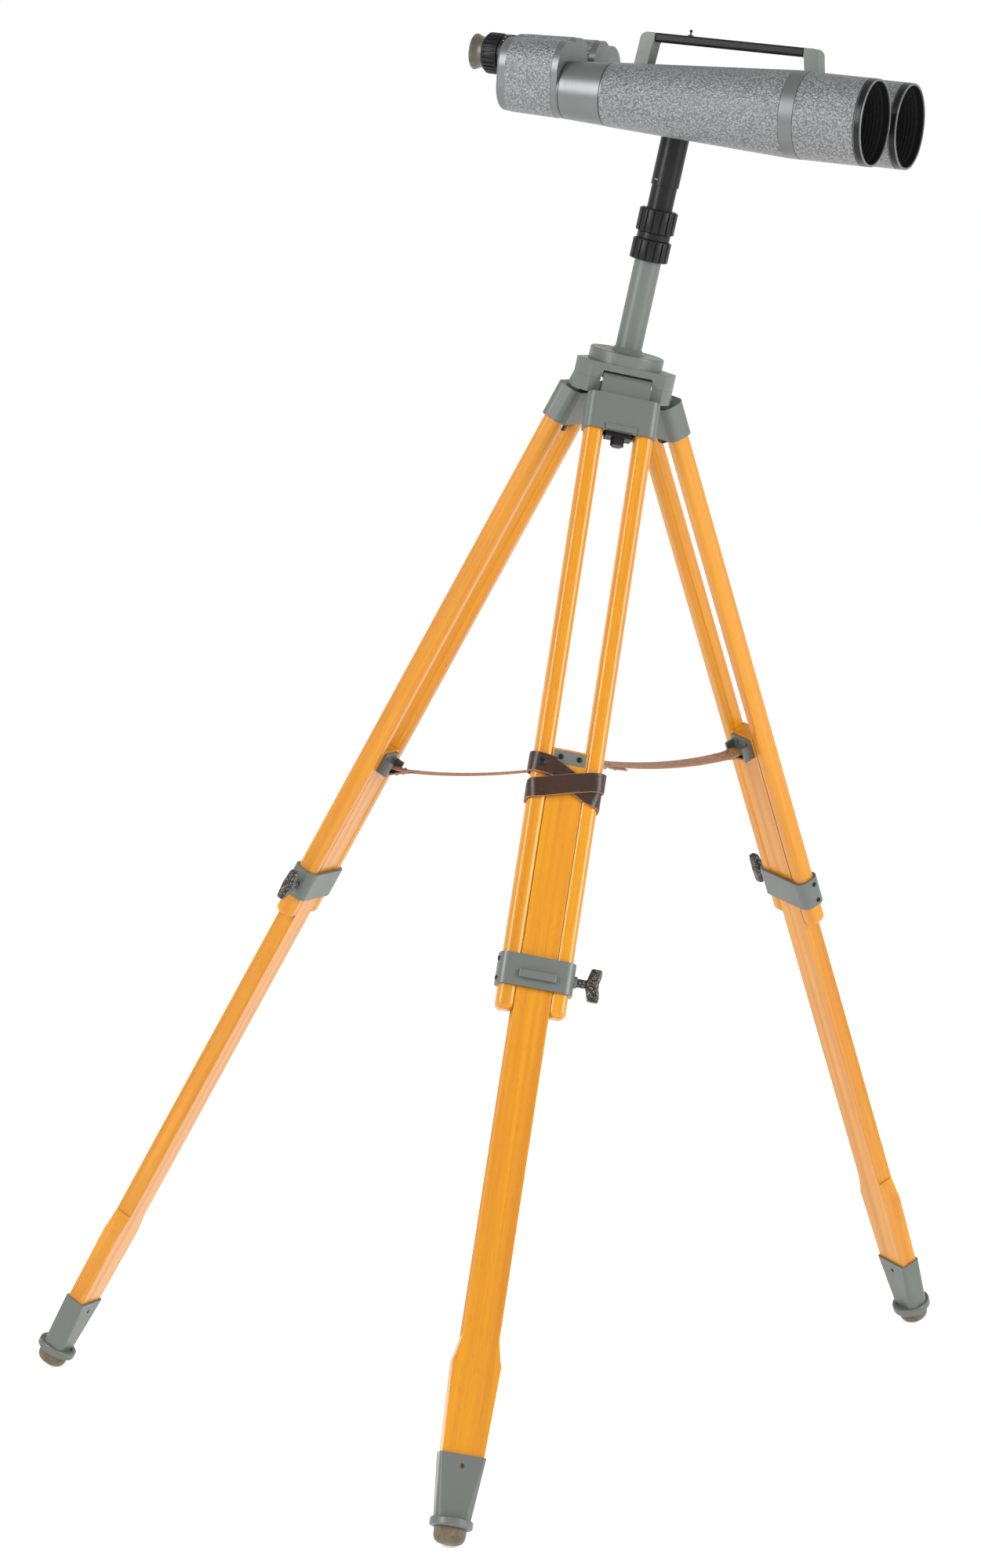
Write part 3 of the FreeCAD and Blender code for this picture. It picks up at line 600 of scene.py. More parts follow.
def lathe(bm, profile, steps=96, index=0):
    """Adds a closed solid of revolution about Z; profile is a loop of (height, radius)."""
    rings = []
    for i in range(steps):
        a = 2 * math.pi * i / steps
        rings.append([bm.verts.new((r * math.cos(a), r * math.sin(a), h)) for h, r in profile])
    count = len(profile)
    for i in range(steps):
        here, there = rings[i], rings[(i + 1) % steps]
        for j in range(count):
            k = (j + 1) % count
            if profile[j][1] < 1e-6 and profile[k][1] < 1e-6:
                continue
            face = bm.faces.new((here[j], there[j], there[k], here[k]))
            face.material_index = index
    return bm


def turned(name, profile, place, finish, body, slot, stands_for=(), rounding=0.0, steps=96):
    """A piece of revolution about its frame's Z."""
    bm = lathe(bmesh.new(), profile, steps)
    return as_piece(name, bm, place, [finish], body, slot, stands_for, rounding)


def block(bm, low, high):
    """Adds a box between two corners."""
    made = bmesh.ops.create_cube(bm, size=1.0)["verts"]
    low, high = Vector(low), Vector(high)
    for v in made:
        v.co = Vector(((low[i] + high[i]) / 2 + v.co[i] * (high[i] - low[i]) for i in range(3)))
    return made


def loft(bm, sections, closed_ends=True, index=0):
    """Skins a list of rings with the same number of points."""
    rings = [[bm.verts.new(p) for p in section] for section in sections]
    count = len(rings[0])
    for a, b in zip(rings, rings[1:]):
        for i in range(count):
            j = (i + 1) % count
            bm.faces.new((a[i], a[j], b[j], b[i])).material_index = index
    if closed_ends:
        bm.faces.new(rings[0]).material_index = index
        bm.faces.new(list(reversed(rings[-1]))).material_index = index
    return bm


def ribbon(bm, stations, width, thickness):
    """Sweeps a strap's rounded section along (centre, across, outward) stations; cut edges are finish 1."""
    w, t = width / 2, thickness / 2
    edge = min(t, 0.6)
    outline = [(-w, -t + edge), (-w + edge, -t), (w - edge, -t), (w, -t + edge),
               (w, t - edge), (w - edge, t), (-w + edge, t), (-w, t - edge)]
    cut = {0, 2, 3, 4, 6, 7}
    rings = []
    for centre, across, outward in stations:
        rings.append([bm.verts.new(centre + across * a + outward * b) for a, b in outline])
    for here, there in zip(rings, rings[1:]):
        for i in range(len(outline)):
            j = (i + 1) % len(outline)
            bm.faces.new((here[i], here[j], there[j], there[i])).material_index = 1 if i in cut else 0
    bm.faces.new(rings[0]).material_index = 1
    bm.faces.new(list(reversed(rings[-1]))).material_index = 1
    return bm


# ---- repeated details ----
def geometry_tree(name, inputs):
    """A Geometry Nodes group with named inputs; returns its graph, input node and a closing function."""
    group = bpy.data.node_groups.new(name, "GeometryNodeTree")
    group.interface.new_socket("Geometry", in_out="INPUT", socket_type="NodeSocketGeometry")
    for label, kind in inputs:
        group.interface.new_socket(label, in_out="INPUT", socket_type=kind)
    group.interface.new_socket("Geometry", in_out="OUTPUT", socket_type="NodeSocketGeometry")
    graph = Graph(group)
    given = graph.add("NodeGroupInput").outputs

    def close(instances):
        real = graph.add("GeometryNodeRealizeInstances", {"Geometry": instances}).outputs[0]
        shown = graph.add("GeometryNodeSetMaterial", {"Geometry": real, "Material": given["Material"]})
        graph.add("NodeGroupOutput", {"Geometry": shown.outputs[0]})
        return group

    return graph, given, close


def round_tree():
    """Repeats the modifier's own mesh round a circle about Z, its X axis outwards."""
    graph, given, close = geometry_tree("repeat_round", [
        ("Count", "NodeSocketInt"), ("Radius", "NodeSocketFloat"), ("Material", "NodeSocketMaterial")])
    circle = graph.add("GeometryNodeMeshCircle", {"Vertices": given["Count"], "Radius": given["Radius"]})
    outwards = graph.add("GeometryNodeInputPosition").outputs[0]
    turn = graph.add("FunctionNodeAlignRotationToVector", {"Vector": outwards}, axis="X", pivot_axis="Z")
    copies = graph.add("GeometryNodeInstanceOnPoints", {
        "Points": circle.outputs[0], "Instance": given["Geometry"], "Rotation": turn.outputs[0]}).outputs[0]
    return close(copies)


def fastener_tree():
    """Puts a domed head on every point, facing along the point's 'facing', with a slot across it."""
    graph, given, close = geometry_tree("fasteners", [
        ("Radius", "NodeSocketFloat"), ("Height", "NodeSocketFloat"), ("Slot Depth", "NodeSocketFloat"),
        ("Material", "NodeSocketMaterial")])
    ball = graph.add("GeometryNodeMeshUVSphere", {"Segments": 24, "Rings": 12, "Radius": 1.0}).outputs[0]
    girth = graph.add("ShaderNodeCombineXYZ", {
        "X": given["Radius"], "Y": given["Radius"], "Z": given["Height"]}).outputs[0]
    dome = graph.add("GeometryNodeTransform", {"Geometry": ball, "Scale": girth}).outputs[0]
    slot_size = {"X": graph.times(given["Radius"], 3.0), "Y": graph.times(given["Radius"], 0.28),
                 "Z": given["Height"]}
    size = graph.add("ShaderNodeCombineXYZ", slot_size).outputs[0]
    bar = graph.add("GeometryNodeMeshCube", {"Size": size}).outputs[0]
    above = graph.times(given["Height"], 1.5)
    lift = graph.add("ShaderNodeMath", {0: above, 1: given["Slot Depth"]}, operation="SUBTRACT").outputs[0]
    up = graph.add("ShaderNodeCombineXYZ", {"Z": lift}).outputs[0]
    raised = graph.add("GeometryNodeTransform", {"Geometry": bar, "Translation": up}).outputs[0]
    head = graph.add("GeometryNodeMeshBoolean", {"Mesh 1": dome, "Mesh 2": raised}, operation="DIFFERENCE")
    facing = graph.add("GeometryNodeInputNamedAttribute", {"Name": "facing"}, data_type="FLOAT_VECTOR")
    turn = graph.add("FunctionNodeAlignRotationToVector", {"Vector": facing.outputs[0]}, axis="Z").outputs[0]
    copies = graph.add("GeometryNodeInstanceOnPoints", {
        "Points": given["Geometry"], "Instance": head.outputs[0], "Rotation": turn}).outputs[0]
    return close(copies)


TREES = {}


def grown(name, mesh, tree, values, body, slot, place=None):
    """Runs a Geometry Nodes tree on a mesh and keeps the result as a plain piece on its body."""
    piece = linked(name, mesh)
    modifier = piece.modifiers.new(tree, "NODES")
    modifier.node_group = TREES[tree]
    for item in TREES[tree].interface.items_tree:
        if item.in_out == "INPUT" and item.name in values:
            modifier[item.identifier] = values[item.name]
    bpy.context.view_layer.update()
    baked(piece)
    if place is not None:
        piece.data.transform(place)
    shade(piece.data)
    return on_body(piece, body, slot)


def ribs(name, rib, count, radius, finish, place, body, slot):
    """A rib repeated round an axis; rib is its half width, half height and ends along the axis."""
    half_width, half_height, low, high = rib
    bm = bmesh.new()
    block(bm, (-half_height, -half_width, low), (half_height, half_width, high))
    bmesh.ops.bevel(bm, geom=bm.edges[:], offset=min(half_width, half_height) * 0.55, segments=2,
                    affect="EDGES", profile=0.5)
    mesh = bpy.data.meshes.new(name)
    bm.to_mesh(mesh)
    bm.free()
    values = {"Count": count, "Radius": radius, "Material": FINISHES[finish]}
    return grown(name, mesh, "repeat_round", values, body, slot, place)


def fasteners(name, spots, place, radius, height, finish, body, slot, slot_depth=0.0):
    """Screws or rivets at (point, facing) spots of a local frame in millimetres."""
    mesh = bpy.data.meshes.new(name)
    mesh.from_pydata([point for point, _ in spots], [], [])
    facing = mesh.attributes.new("facing", "FLOAT_VECTOR", "POINT")
    for i, (_, direction) in enumerate(spots):
        facing.data[i].vector = Vector(direction).normalized()
    values = {"Radius": radius, "Height": height, "Slot Depth": slot_depth or -height,
              "Material": FINISHES[finish]}
    return grown(name, mesh, "fasteners", values, body, slot, place)


# ---- tripod head and column ----
def build_head():
    enamelled("platform_plate")
    enamelled("clamp_plate")
    enamelled("stem", 0.0006)
    softened("centre_bolt", "satin_black", "black_metal", 0.0005)
    repaint("hinge_pins", "steel")


def build_column():
    softened("column_tube", "gloss_black", "black_metal", 0.0004)
    softened("mount_sleeve", "gloss_black", "black_metal", 0.0006)
    for which, (low, high) in LOCK_RINGS.items():
        bore, r, chamfer = LOCK_BORES[which], LOCK_RING_R - 1.4, 0.8
        profile = [(low, bore), (low, r - chamfer), (low + chamfer, r), (high - chamfer, r),
                   (high, r - chamfer), (high, bore)]
        turned(f"{which}_lock_body", profile, HEAD, "satin_black", f"{which}_lock", "black_metal",
               [f"{which}_lock_ring"], 0.0003)
        rib = (3.3, 1.5, low + 0.5, high - 0.9)
        ribs(f"{which}_lock_ribs", rib, sizes().lock_ribs, r - 0.1, "satin_black", HEAD, f"{which}_lock",
             "black_metal")
    spots = []
    for azimuth in (-119, -108):
        out = compass(azimuth)
        spots.append((out * SLEEVE_R + Vector((0, 0, SLEEVE_BOTTOM + 6)), out))
    fasteners("sleeve_screws", spots, HEAD, 0.95, 0.35, "steel", "column", "steel", 0.2)


# ---- legs ----
def wing_section(z, y_low, y_high, half, count=20):
    """Soft-cornered section of the wing at a height."""
    ring = []
    for i in range(count):
        a = 2 * math.pi * i / count
        c, s = math.cos(a), math.sin(a)
        x = half * math.copysign(abs(c) ** 0.6, c)
        y = (y_low + y_high) / 2 + (y_high - y_low) / 2 * math.copysign(abs(s) ** 0.6, s)
        ring.append((x, y, z))
    return ring


def wing_screw(side):
    """Cast wing with a waist at the hub and two thick ears, on its shank."""
    start = LEG_W / 2 + CLAMP_WALL
    bm = bmesh.new()
    # Height from the hub, inner and outer edge of the ear, and half its thickness.
    outline = [(-17.8, 6.6, 15.0, 2.4), (-17.2, 5.0, 16.4, 4.0), (-13, 3.8, 17.0, 4.8), (-7, 2.2, 16.2, 5.4),
               (-3, 0.6, 15.0, 6.4), (0, 0.0, 15.0, 6.8)]
    outline += [(-z, low, high, half) for z, low, high, half in reversed(outline[:-1])]
    hub = start + 12
    loft(bm, [wing_section(z - CLAMP_AT, hub + low, hub + high, half) for z, low, high, half in outline])
    shank = bmesh.new()
    lathe(shank, [(start - 1, 0), (start - 1, 3.9), (start + 3.4, 3.9), (start + 3.8, 4.7), (start + 13, 4.7),
                  (start + 14, 0)], 32)
    shank.transform(Matrix.Translation((0, 0, -CLAMP_AT)) @ Matrix.Rotation(math.radians(-90), 4, "X"))
    mesh = bpy.data.meshes.new("shank")
    shank.to_mesh(mesh)
    shank.free()
    bm.from_mesh(mesh)
    bpy.data.meshes.remove(mesh)
    as_piece(f"{side}_wing", bm, LEG[side], ["worn_black"], f"{side}_clamp_screw", "black_metal",
             [f"{side}_wing_screw"], 0.0004)


def rubber_foot(side):
    """Blunt rubber plug, as long as the floor allows under its leaning leg."""
    tip, base, seat = leg_tip(side), FOOT_R + 2.0, COLLAR_UP - 2
    bluntness, tries, steps = 0.55, 12, 14
    clearance = 1.0
    for _ in range(tries):
        profile = [(seat - tip, 0), (seat - tip, FOOT_R)]
        for i in range(steps + 1):
            a = math.radians(90 * i / steps)
            out, below = math.cos(a) ** bluntness, math.sin(a) ** bluntness
            profile.append((base - tip - (base - clearance) * below, FOOT_R * out))
        low = min((LEG[side] @ (compass(way) * r + Vector((0, 0, h)))).z
                  for h, r in profile for way in range(0, 360, 15))
        if low >= 0:
            break
        clearance -= low / MM
    turned(f"{side}_foot_rubber", profile, LEG[side], "foot", f"{side}_lower_leg", "foot_rubber",
           [f"{side}_rubber_foot"])


def socket_bolt(side):
    """Nut and its bearing block between a leg's stiles, under the web of the socket."""
    half_t, half_w, top, bottom = 8, 14.5, -58, -64
    nut_r, nut_h = 7.5, 8
    bm = bmesh.new()
    block(bm, (-half_t, -half_w, bottom), (half_t, half_w, top))
    nut = bmesh.ops.create_cone(bm, cap_ends=True, segments=6, radius1=nut_r, radius2=nut_r, depth=nut_h)
    bmesh.ops.translate(bm, verts=nut["verts"], vec=(0, 0, bottom - nut_h / 2))
    as_piece(f"{side}_socket_bolt", bm, LEG[side], ["satin_black"], f"{side}_upper_leg", "black_metal",
             rounding=0.0004)


def build_legs():
    for side in SIDES:
        wood = f"wood_{side}"
        enamelled(f"{side}_leg_socket", 0.0012)
        enamelled(f"{side}_clamp_band", 0.0007)
        softened(f"{side}_lower_board", wood, "varnished_wood", 0.0014)
        enamelled(f"{side}_strap_bracket", 0.0005)
        enamelled(f"{side}_ferrule", 0.0009)
        repaint(f"{side}_stiles", wood)
        middle, half, inner, outer, chamfer = COLLAR_UP - leg_tip(side), 4.6, 17.2, 22.6, 1.2
        profile = [(middle - half, inner), (middle - half, outer - chamfer), (middle - half + chamfer, outer),
                   (middle + half - chamfer, outer), (middle + half, outer - chamfer), (middle + half, inner)]
        turned(f"{side}_shoe_collar", profile, LEG[side], "enamel", f"{side}_lower_leg", "grey_paint",
               rounding=0.0006)
        rubber_foot(side)
        socket_bolt(side)


def build_wing_screws():
    for side in SIDES:
        wing_screw(side)


def build_leg_screws():
    """Screws of the clamp bands, strap brackets and shoes."""
    radius = in_mm("screw_radius")
    for side in SIDES:
        end = -(LEG_W / 2 + CLAMP_WALL)
        eye_down = (LEG[side].inverted() @ STRAP[side].translation).z
        clamp = [((4.0, end, -CLAMP_AT + up), (0, -1, 0)) for up in (10.0, -11.0)]
        fasteners(f"{side}_clamp_screws", clamp, LEG[side], radius * 0.9, 1.7, "satin_black",
                  f"{side}_upper_leg", "black_metal", 0.7)
        plate = [((BOARD_T / 2 + 0.6, y, eye_down + 11), (1, 0, 0)) for y in (-10, 10)]
        fasteners(f"{side}_bracket_screws", plate, LEG[side], radius, 1.3, "satin_black",
                  f"{side}_lower_leg", "black_metal", 0.6)
        hole = -(leg_tip(side) - FERRULE_UP) - 12
        shoe = [((s * (BOARD_T / 2 + 1.2), 0, hole), (s, 0, 0)) for s in (-1, 1)]
        fasteners(f"{side}_shoe_screws", shoe, LEG[side], 2.3, 1.0, "satin_black", f"{side}_lower_leg",
                  "black_metal", 0.5)


# ---- straps ----
def spreader_path(reach):
    """Centre line of a strap in (along, up): a tail, a loop round the pin, the sag and a folded end."""
    points = [(30.0, -2.2), (22.0, -2.4), (14.0, -2.6), (7.0, -3.1)]
    loop_r, start, steps = 3.5, 11.0, 26
    points += [tuple(loop_r * compass(-90 - 22.5 * i).xy) for i in range(9)]
    points += [(6.0, 2.7), (start, 1.0)]
    for i in range(1, steps + 1):
        u = i / steps
        along = start + (reach - start) * u
        v = (along - 3.6) / (reach - 3.6)
        points.append((along, (1 - u) ** 6 - 4 * STRAP_SAG * v * (1 - v)))
    points += [(reach + 1.5, -0.9), (reach + 0.9, -2.3)]
    points += [(reach - 6.0 * i, -2.6 - 0.13 * STRAP_SAG * i) for i in range(1, 5)]
    return points


def spreader_strap(side):
    """Leather strap from its pin towards the ring, with four riveted pairs."""
    centre = STRAP[side].inverted() @ ring_centre()
    ahead = Vector((centre.x, centre.y, 0)).normalized()
    across = Vector((-ahead.y, ahead.x, 0))
    reach = centre.length - RING_R - 4.2
    line = [ahead * a + Vector((0, 0, h)) for a, h in spreader_path(reach)]
    stations = []
    for i, point in enumerate(line):
        along = (line[min(i + 1, len(line) - 1)] - line[max(i - 1, 0)]).normalized()
        stations.append((point, across, along.cross(across)))
    bm = ribbon(bmesh.new(), stations, in_mm("strap_width"), in_mm("strap_thickness"))
    as_piece(f"{side}_strap_leather", bm, STRAP[side], ["tan_leather", "cut_leather"], f"{side}_strap",
             "tan_leather", [f"{side}_spreader_strap"])
    rivets = []
    for along, up in ((16.0, 1.4), (reach - 10, -0.6)):
        for y in (-5.5, 5.5):
            for face, height in ((1, up), (-1, up - 5.4)):
                rivets.append((ahead * along + across * y + Vector((0, 0, height)), (0, 0, face)))
    fasteners(f"{side}_strap_rivets", rivets, STRAP[side], 2.2, 0.9, "steel", f"{side}_strap", "steel")


def build_spreader():
    for side in SIDES:
        spreader_strap(side)
    softened("spreader_ring", "steel", "steel", 0.0009)


def leg_outline(u, lift):
    """Point and outward direction round the leg's section; u runs 0 outer face, 1 +Y side, 2 inner, 3 -Y."""
    t, w, r = LEG_T / 2, LEG_W / 2, STILE_ROUND
    flat_t, flat_w, bend = t - r, w - r, math.pi / 2 * r
    quarter = flat_w + bend + flat_t
    turn_of, part = divmod(u, 1)
    first, second = (flat_w, flat_t) if int(turn_of) % 2 == 0 else (flat_t, flat_w)
    s = part * quarter
    if s < first:
        point, angle = (s, 0.0), 0.0
    elif s < first + bend:
        angle = (s - first) / r
        point = (first + r * math.sin(angle), -r * (1 - math.cos(angle)))
    else:
        angle = math.pi / 2
        point = (first + r, -r - (s - first - bend))
    half = t if int(turn_of) % 2 == 0 else w
    local = Vector((half + point[1], point[0], 0))
    out = Vector((math.cos(angle), math.sin(angle), 0))
    spin = Matrix.Rotation(math.pi / 2 * int(turn_of), 3, "Z")
    return spin @ (local + out * lift), spin @ out


def wound(bm, keys, steps, width, thickness):
    """Winds a strap round the leg through (u, down, lift) keys."""
    stations, line = [], []
    for (u0, d0, l0), (u1, d1, l1) in zip(keys, keys[1:]):
        count = max(2, round(steps * abs(u1 - u0)))
        line += [(u0 + (u1 - u0) * i / count, d0 + (d1 - d0) * i / count, l0 + (l1 - l0) * i / count)
                 for i in range(count)]
    line.append(keys[-1])
    placed = []
    for u, down, lift in line:
        point, out = leg_outline(u % 4, lift)
        placed.append((point - Vector((0, 0, down)), out))
    for i, (point, out) in enumerate(placed):
        along = placed[min(i + 1, len(placed) - 1)][0] - placed[max(i - 1, 0)][0]
        across = out.cross(along).normalized()
        stations.append((point, across, out))
    return ribbon(bm, stations, width, thickness)


def build_binding_strap():
    """One strap: a riveted loop on the -Y stile, down across the face, round the back and level across."""
    thickness, width, steps = in_mm("binding_thickness"), in_mm("binding_width"), 40
    under, over = thickness / 2 + 0.1, thickness * 1.5 + 0.2
    bm = bmesh.new()
    first_turn = ((3.0, 433), (3.45, 436.5), (3.7, 440), (4.0, 447), (4.3, 453.5), (4.55, 460), (5.0, 466),
                  (6.0, 468), (7.0, 466))
    second_turn = ((7.45, 461), (8.0, 453.5), (8.55, 447), (9.0, 444), (9.45, 442))
    keys = [(u, down, under) for u, down in first_turn] + [(u, down, over) for u, down in second_turn]
    wound(bm, keys, steps, width, thickness)
    loop = [(3.66, 437, over), (3.2, 434.5, over), (3.0, 433.5, over - 0.6), (2.55, 434.5, under)]
    wound(bm, loop, steps, width, thickness)
    as_piece("binding_strap_leather", bm, LEG["right"], ["brown_leather", "cut_leather"], "right_upper_leg",
             "brown_leather", ["binding_strap"])
    face = LEG_T / 2 + 2 * thickness + 0.3
    rivets = [((face, -LEG_W / 2 + 8, -435.5), (1, 0, 0))]
    fasteners("binding_rivet", rivets, LEG["right"], 4.0, 1.6, "gloss_black", "right_upper_leg",
              "black_metal")


# ---- optics ----
def cone_r(x):
    return TUBE_REAR_R + (TUBE_FRONT_R - TUBE_REAR_R) * (x - SEAM_X) / (BAND_X - SEAM_X)


def sleeve_profile(x0, x1, r0, r1, rise, depth=0.6):
    """Thin skin over a cone with rolled edges."""
    return [(x0, r0 - depth), (x0, r0 + rise * 0.4), (x0 + 0.4, r0 + rise), (x1 - 0.4, r1 + rise),
            (x1, r1 + rise * 0.4), (x1, r1 - depth)]


def tube_part(side, what, profile, finish, slot):
    turned(f"{side}_{what}", profile, tube_frame(side), finish, "binocular", slot, steps=128)


def build_tubes():
    """Coverings, seams, front rims and ribbed linings over the bare tubes and dew shields."""
    rise, r = in_mm("cover_rise"), TUBE_FRONT_R
    back, lip, wall = RIM_X - 7.6, RIM_X - 1.1, 2.35
    cover = sleeve_profile(COVER_X, BAND_X - 0.4, cone_r(COVER_X), r, rise)
    shield = sleeve_profile(SHIELD_X + 0.5, RIM_X - 9.2, r, r, rise)
    rim = [(back, r - 1.0), (back, r + 0.2), (back + 0.8, r + 0.5), (lip, r + 0.5), (lip, r - 2.3),
           (back, r - 2.3)]
    edge = [(lip, r - 1.5), (lip, r + 0.5), (lip + 0.5, r + 0.5), (RIM_X, r), (RIM_X, r - 1.2),
            (lip + 0.5, r - 1.7)]
    lining = [(back, r - 1.7)]
    x, pitch, groove = back, 4.0, 0.4
    while x > SHIELD_X + pitch:
        lining += [(x, r - wall), (x - 2.0, r - wall - groove), (x - 3.2, r - wall - groove),
                   (x - 3.4, r - wall)]
        x -= pitch
    lining += [(SHIELD_X - 2, r - 2.5), (SHIELD_X - 2, r - 1.9)]
    for side in EYES:
        for node in ("objective_tube", "dew_shield"):
            repaint(f"{side}_{node}", "satin")
        repaint(f"{side}_objective_lens", "lens")
        tube_part(side, "tube_cover", cover, "cover", "pebbled_grey")
        tube_part(side, "shield_cover", shield, "cover", "pebbled_grey")
        for i, x in enumerate((SEAM_X + 1.6, COVER_X - 2.2)):
            seam = sleeve_profile(x, x + 0.9, cone_r(x), cone_r(x), 0.12)
            tube_part(side, f"seam_{i}", seam, "satin_black", "black_metal")
        tube_part(side, "rim_ring", rim, "gloss_black", "black_metal")
        tube_part(side, "rim_edge", edge, "satin", "pebbled_grey")
        tube_part(side, "shield_lining", lining, "flat_black", "black_plastic")


def housing_reach(angle, centre, outer, inner):
    """Distance from a point inside the housing's section to its outline, by halving."""
    def inside(p):
        for a, b, r in (((0, 0), LOBE_TOP, outer), (EYE_FOOT, EYE_LOBE, inner)):
            a, b = Vector(a), Vector(b)
            t = max(0, min(1, (p - a).dot(b - a) / (b - a).length_squared))
            if (p - a.lerp(b, t)).length < r:
                return True
        return False

    low, high = 0.0, 90.0
    ray = Vector((math.cos(angle), math.sin(angle)))
    for _ in range(18):
        middle = (low + high) / 2
        if inside(centre + ray * middle):
            low = middle
        else:
            high = middle
    return centre + ray * low


def housing_skin(side, x0, x1, rise, depth, count=220):
    """Closed skin round a housing between two stations; y is mirrored for the two sides."""
    mirror = -eye_sign(side)
    middle = Vector((8.0, 19.0))
    span = SEAM_X - HOUSING_REAR_X

    def ring(x, lift):
        narrow = DRAFT * (1 - (x - HOUSING_REAR_X) / span)
        out = []
        for i in range(count):
            p = housing_reach(2 * math.pi * i / count, middle, LOBE_R - narrow + lift, EYE_R - narrow + lift)
            out.append((x, mirror * p.x, p.y))
        return out

    sections = [ring(x0, -depth), ring(x0, rise * 0.4), ring(x0 + 0.4, rise), ring(x1 - 0.4, rise),
                ring(x1, rise * 0.4), ring(x1, -depth)]
    return loft(bmesh.new(), sections + sections[:1], closed_ends=False)


def build_housings():
    rise = in_mm("cover_rise")
    for side in EYES:
        place = OPTICS @ Matrix.Translation((0, eye_sign(side) * TUBE_SPACING / 2, 0))
        repaint(f"{side}_prism_housing", "satin")
        repaint(f"{side}_prisms", "prism")
        bm = housing_skin(side, HOUSING_REAR_X + 10.5, SEAM_X - 7.0, rise, 0.6)
        as_piece(f"{side}_housing_cover", bm, place, ["cover"], f"{side}_housing", "pebbled_grey")


def build_eyepieces():
    for side in EYES:
        place, rear = eyepiece_frame(side), BARREL_X
        repaint(f"{side}_eyepiece_barrel", "gloss_black")
        collar = [(rear + 0.8, 14.5), (rear + 0.8, 20.9), (rear + 1.4, 21.6), (HOUSING_REAR_X - 5, 21.8),
                  (HOUSING_REAR_X - 4, 20.4), (HOUSING_REAR_X - 4, 14.5)]
        turned(f"{side}_scale_ring", collar, place, "satin_black", f"{side}_housing", "black_plastic",
               rounding=0.0002)
        dots = []
        for degrees in range(132, 229, 16):
            out = compass(degrees)
            dots.append((out * 21.65 + Vector((0, 0, rear + 4.6)), out))
        fasteners(f"{side}_scale_dots", dots, place, 0.55, 0.12, "mark", f"{side}_housing", "black_plastic")
        grip = [(rear - 0.1, 15.1), (rear - 0.1, 21.2), (rear - 1.0, 22.0), (rear - 2.2, 22.0),
                (rear - 3.0, 20.8), (RING_X + 4.2, 20.8), (RING_X + 3.4, 21.6), (RING_X + 2.2, 21.6),
                (RING_X, 19.6), (RING_X, 15.1)]
        turned(f"{side}_focus_body", grip, place, "satin_black", f"{side}_focus", "black_plastic",
               [f"{side}_focus_ring"], 0.0002)
        rib = (1.55, 1.3, RING_X + 2.6, rear - 1.6)
        ribs(f"{side}_focus_ribs", rib, sizes().focus_ribs, 21.0, "satin_black", place, f"{side}_focus",
             "black_plastic")
        cup = [(RING_X + 2.5, 12.0), (RING_X + 2.5, 16.8), (RING_X - 0.6, 16.9), (RING_X - 3.0, 16.3),
               (RING_X - 6.0, 16.5), (RING_X - 9.5, 17.6), (CUP_X + 2.6, 18.9), (CUP_X + 1.2, 19.4),
               (CUP_X + 0.2, 19.2), (CUP_X, 18.4), (CUP_X + 0.8, 17.6), (CUP_X + 4.0, 16.4),
               (CUP_X + 8.5, 14.9), (RING_X - 2.0, 14.3), (RING_X - 1.0, 12.0)]
        turned(f"{side}_eyecup_rubber", cup, place, "eyecup", f"{side}_focus", "olive_rubber",
               [f"{side}_eyecup"])


def build_mount():
    """Saddle, cross webs, handle and sight between the tubes."""
    enamelled("centre_bridge", 0.0009)
    repaint("tilt_pin", "steel")
    softened("end_bridges", "satin", "grey_paint", 0.0008)
    enamelled("handle_brackets", 0.0012)
    softened("handle_grip", "satin_black", "black_metal", 0.0012)
    repaint("front_sight", "satin_black")


# ---- stage ----
def area_light(name, at, aim, size, power):
    """Soft rectangular light facing a point."""
    data = bpy.data.lights.new(name, "AREA")
    data.shape = "RECTANGLE"
    data.size, data.size_y = size
    data.energy = power
    lamp = bpy.data.objects.new(name, data)
    lamp.location = at
    lamp.rotation_euler = (Vector(aim) - Vector(at)).to_track_quat("-Z", "Y").to_euler()
    bpy.context.scene.collection.objects.link(lamp)


def studio_world():
    """White surround that falls off towards a darker ceiling."""
    world = bpy.data.worlds.new("studio")
    world.use_nodes = True
    graph = Graph(world.node_tree)
    direction = graph.add("ShaderNodeTexCoord").outputs["Generated"]
    height = graph.add("ShaderNodeSeparateXYZ", {0: direction}).outputs["Z"]
    shade_of = graph.add("ShaderNodeMapRange", {
        "Value": height, "From Min": 0.15, "From Max": 0.75, "To Min": 1.0, "To Max": 0.45}).outputs[0]
    background = world.node_tree.nodes["Background"]
    background.inputs["Color"].default_value = (1, 1, 1, 1)
    graph.feed(background.inputs["Strength"], shade_of)
    bpy.context.scene.world = world


def studio_floor():
    bm = bmesh.new()
    block(bm, (-60, -60, -0.02), (60, 60, 0))
    mesh = bpy.data.meshes.new("studio_floor")
    bm.to_mesh(mesh)
    bm.free()
    floor = linked("studio_floor", mesh)
    f = Finish("studio_floor")
    cloud = f.noise(0.8, detail=2)
    base = f.mixed(f.between(cloud, 0.3, 0.7, 0.0, 0.2), colours().floor, (0.90, 0.90, 0.90))
    mesh.materials.append(f.done(base=base, roughness=0.8, glow_colour=(1, 1, 1), glow=0.46))


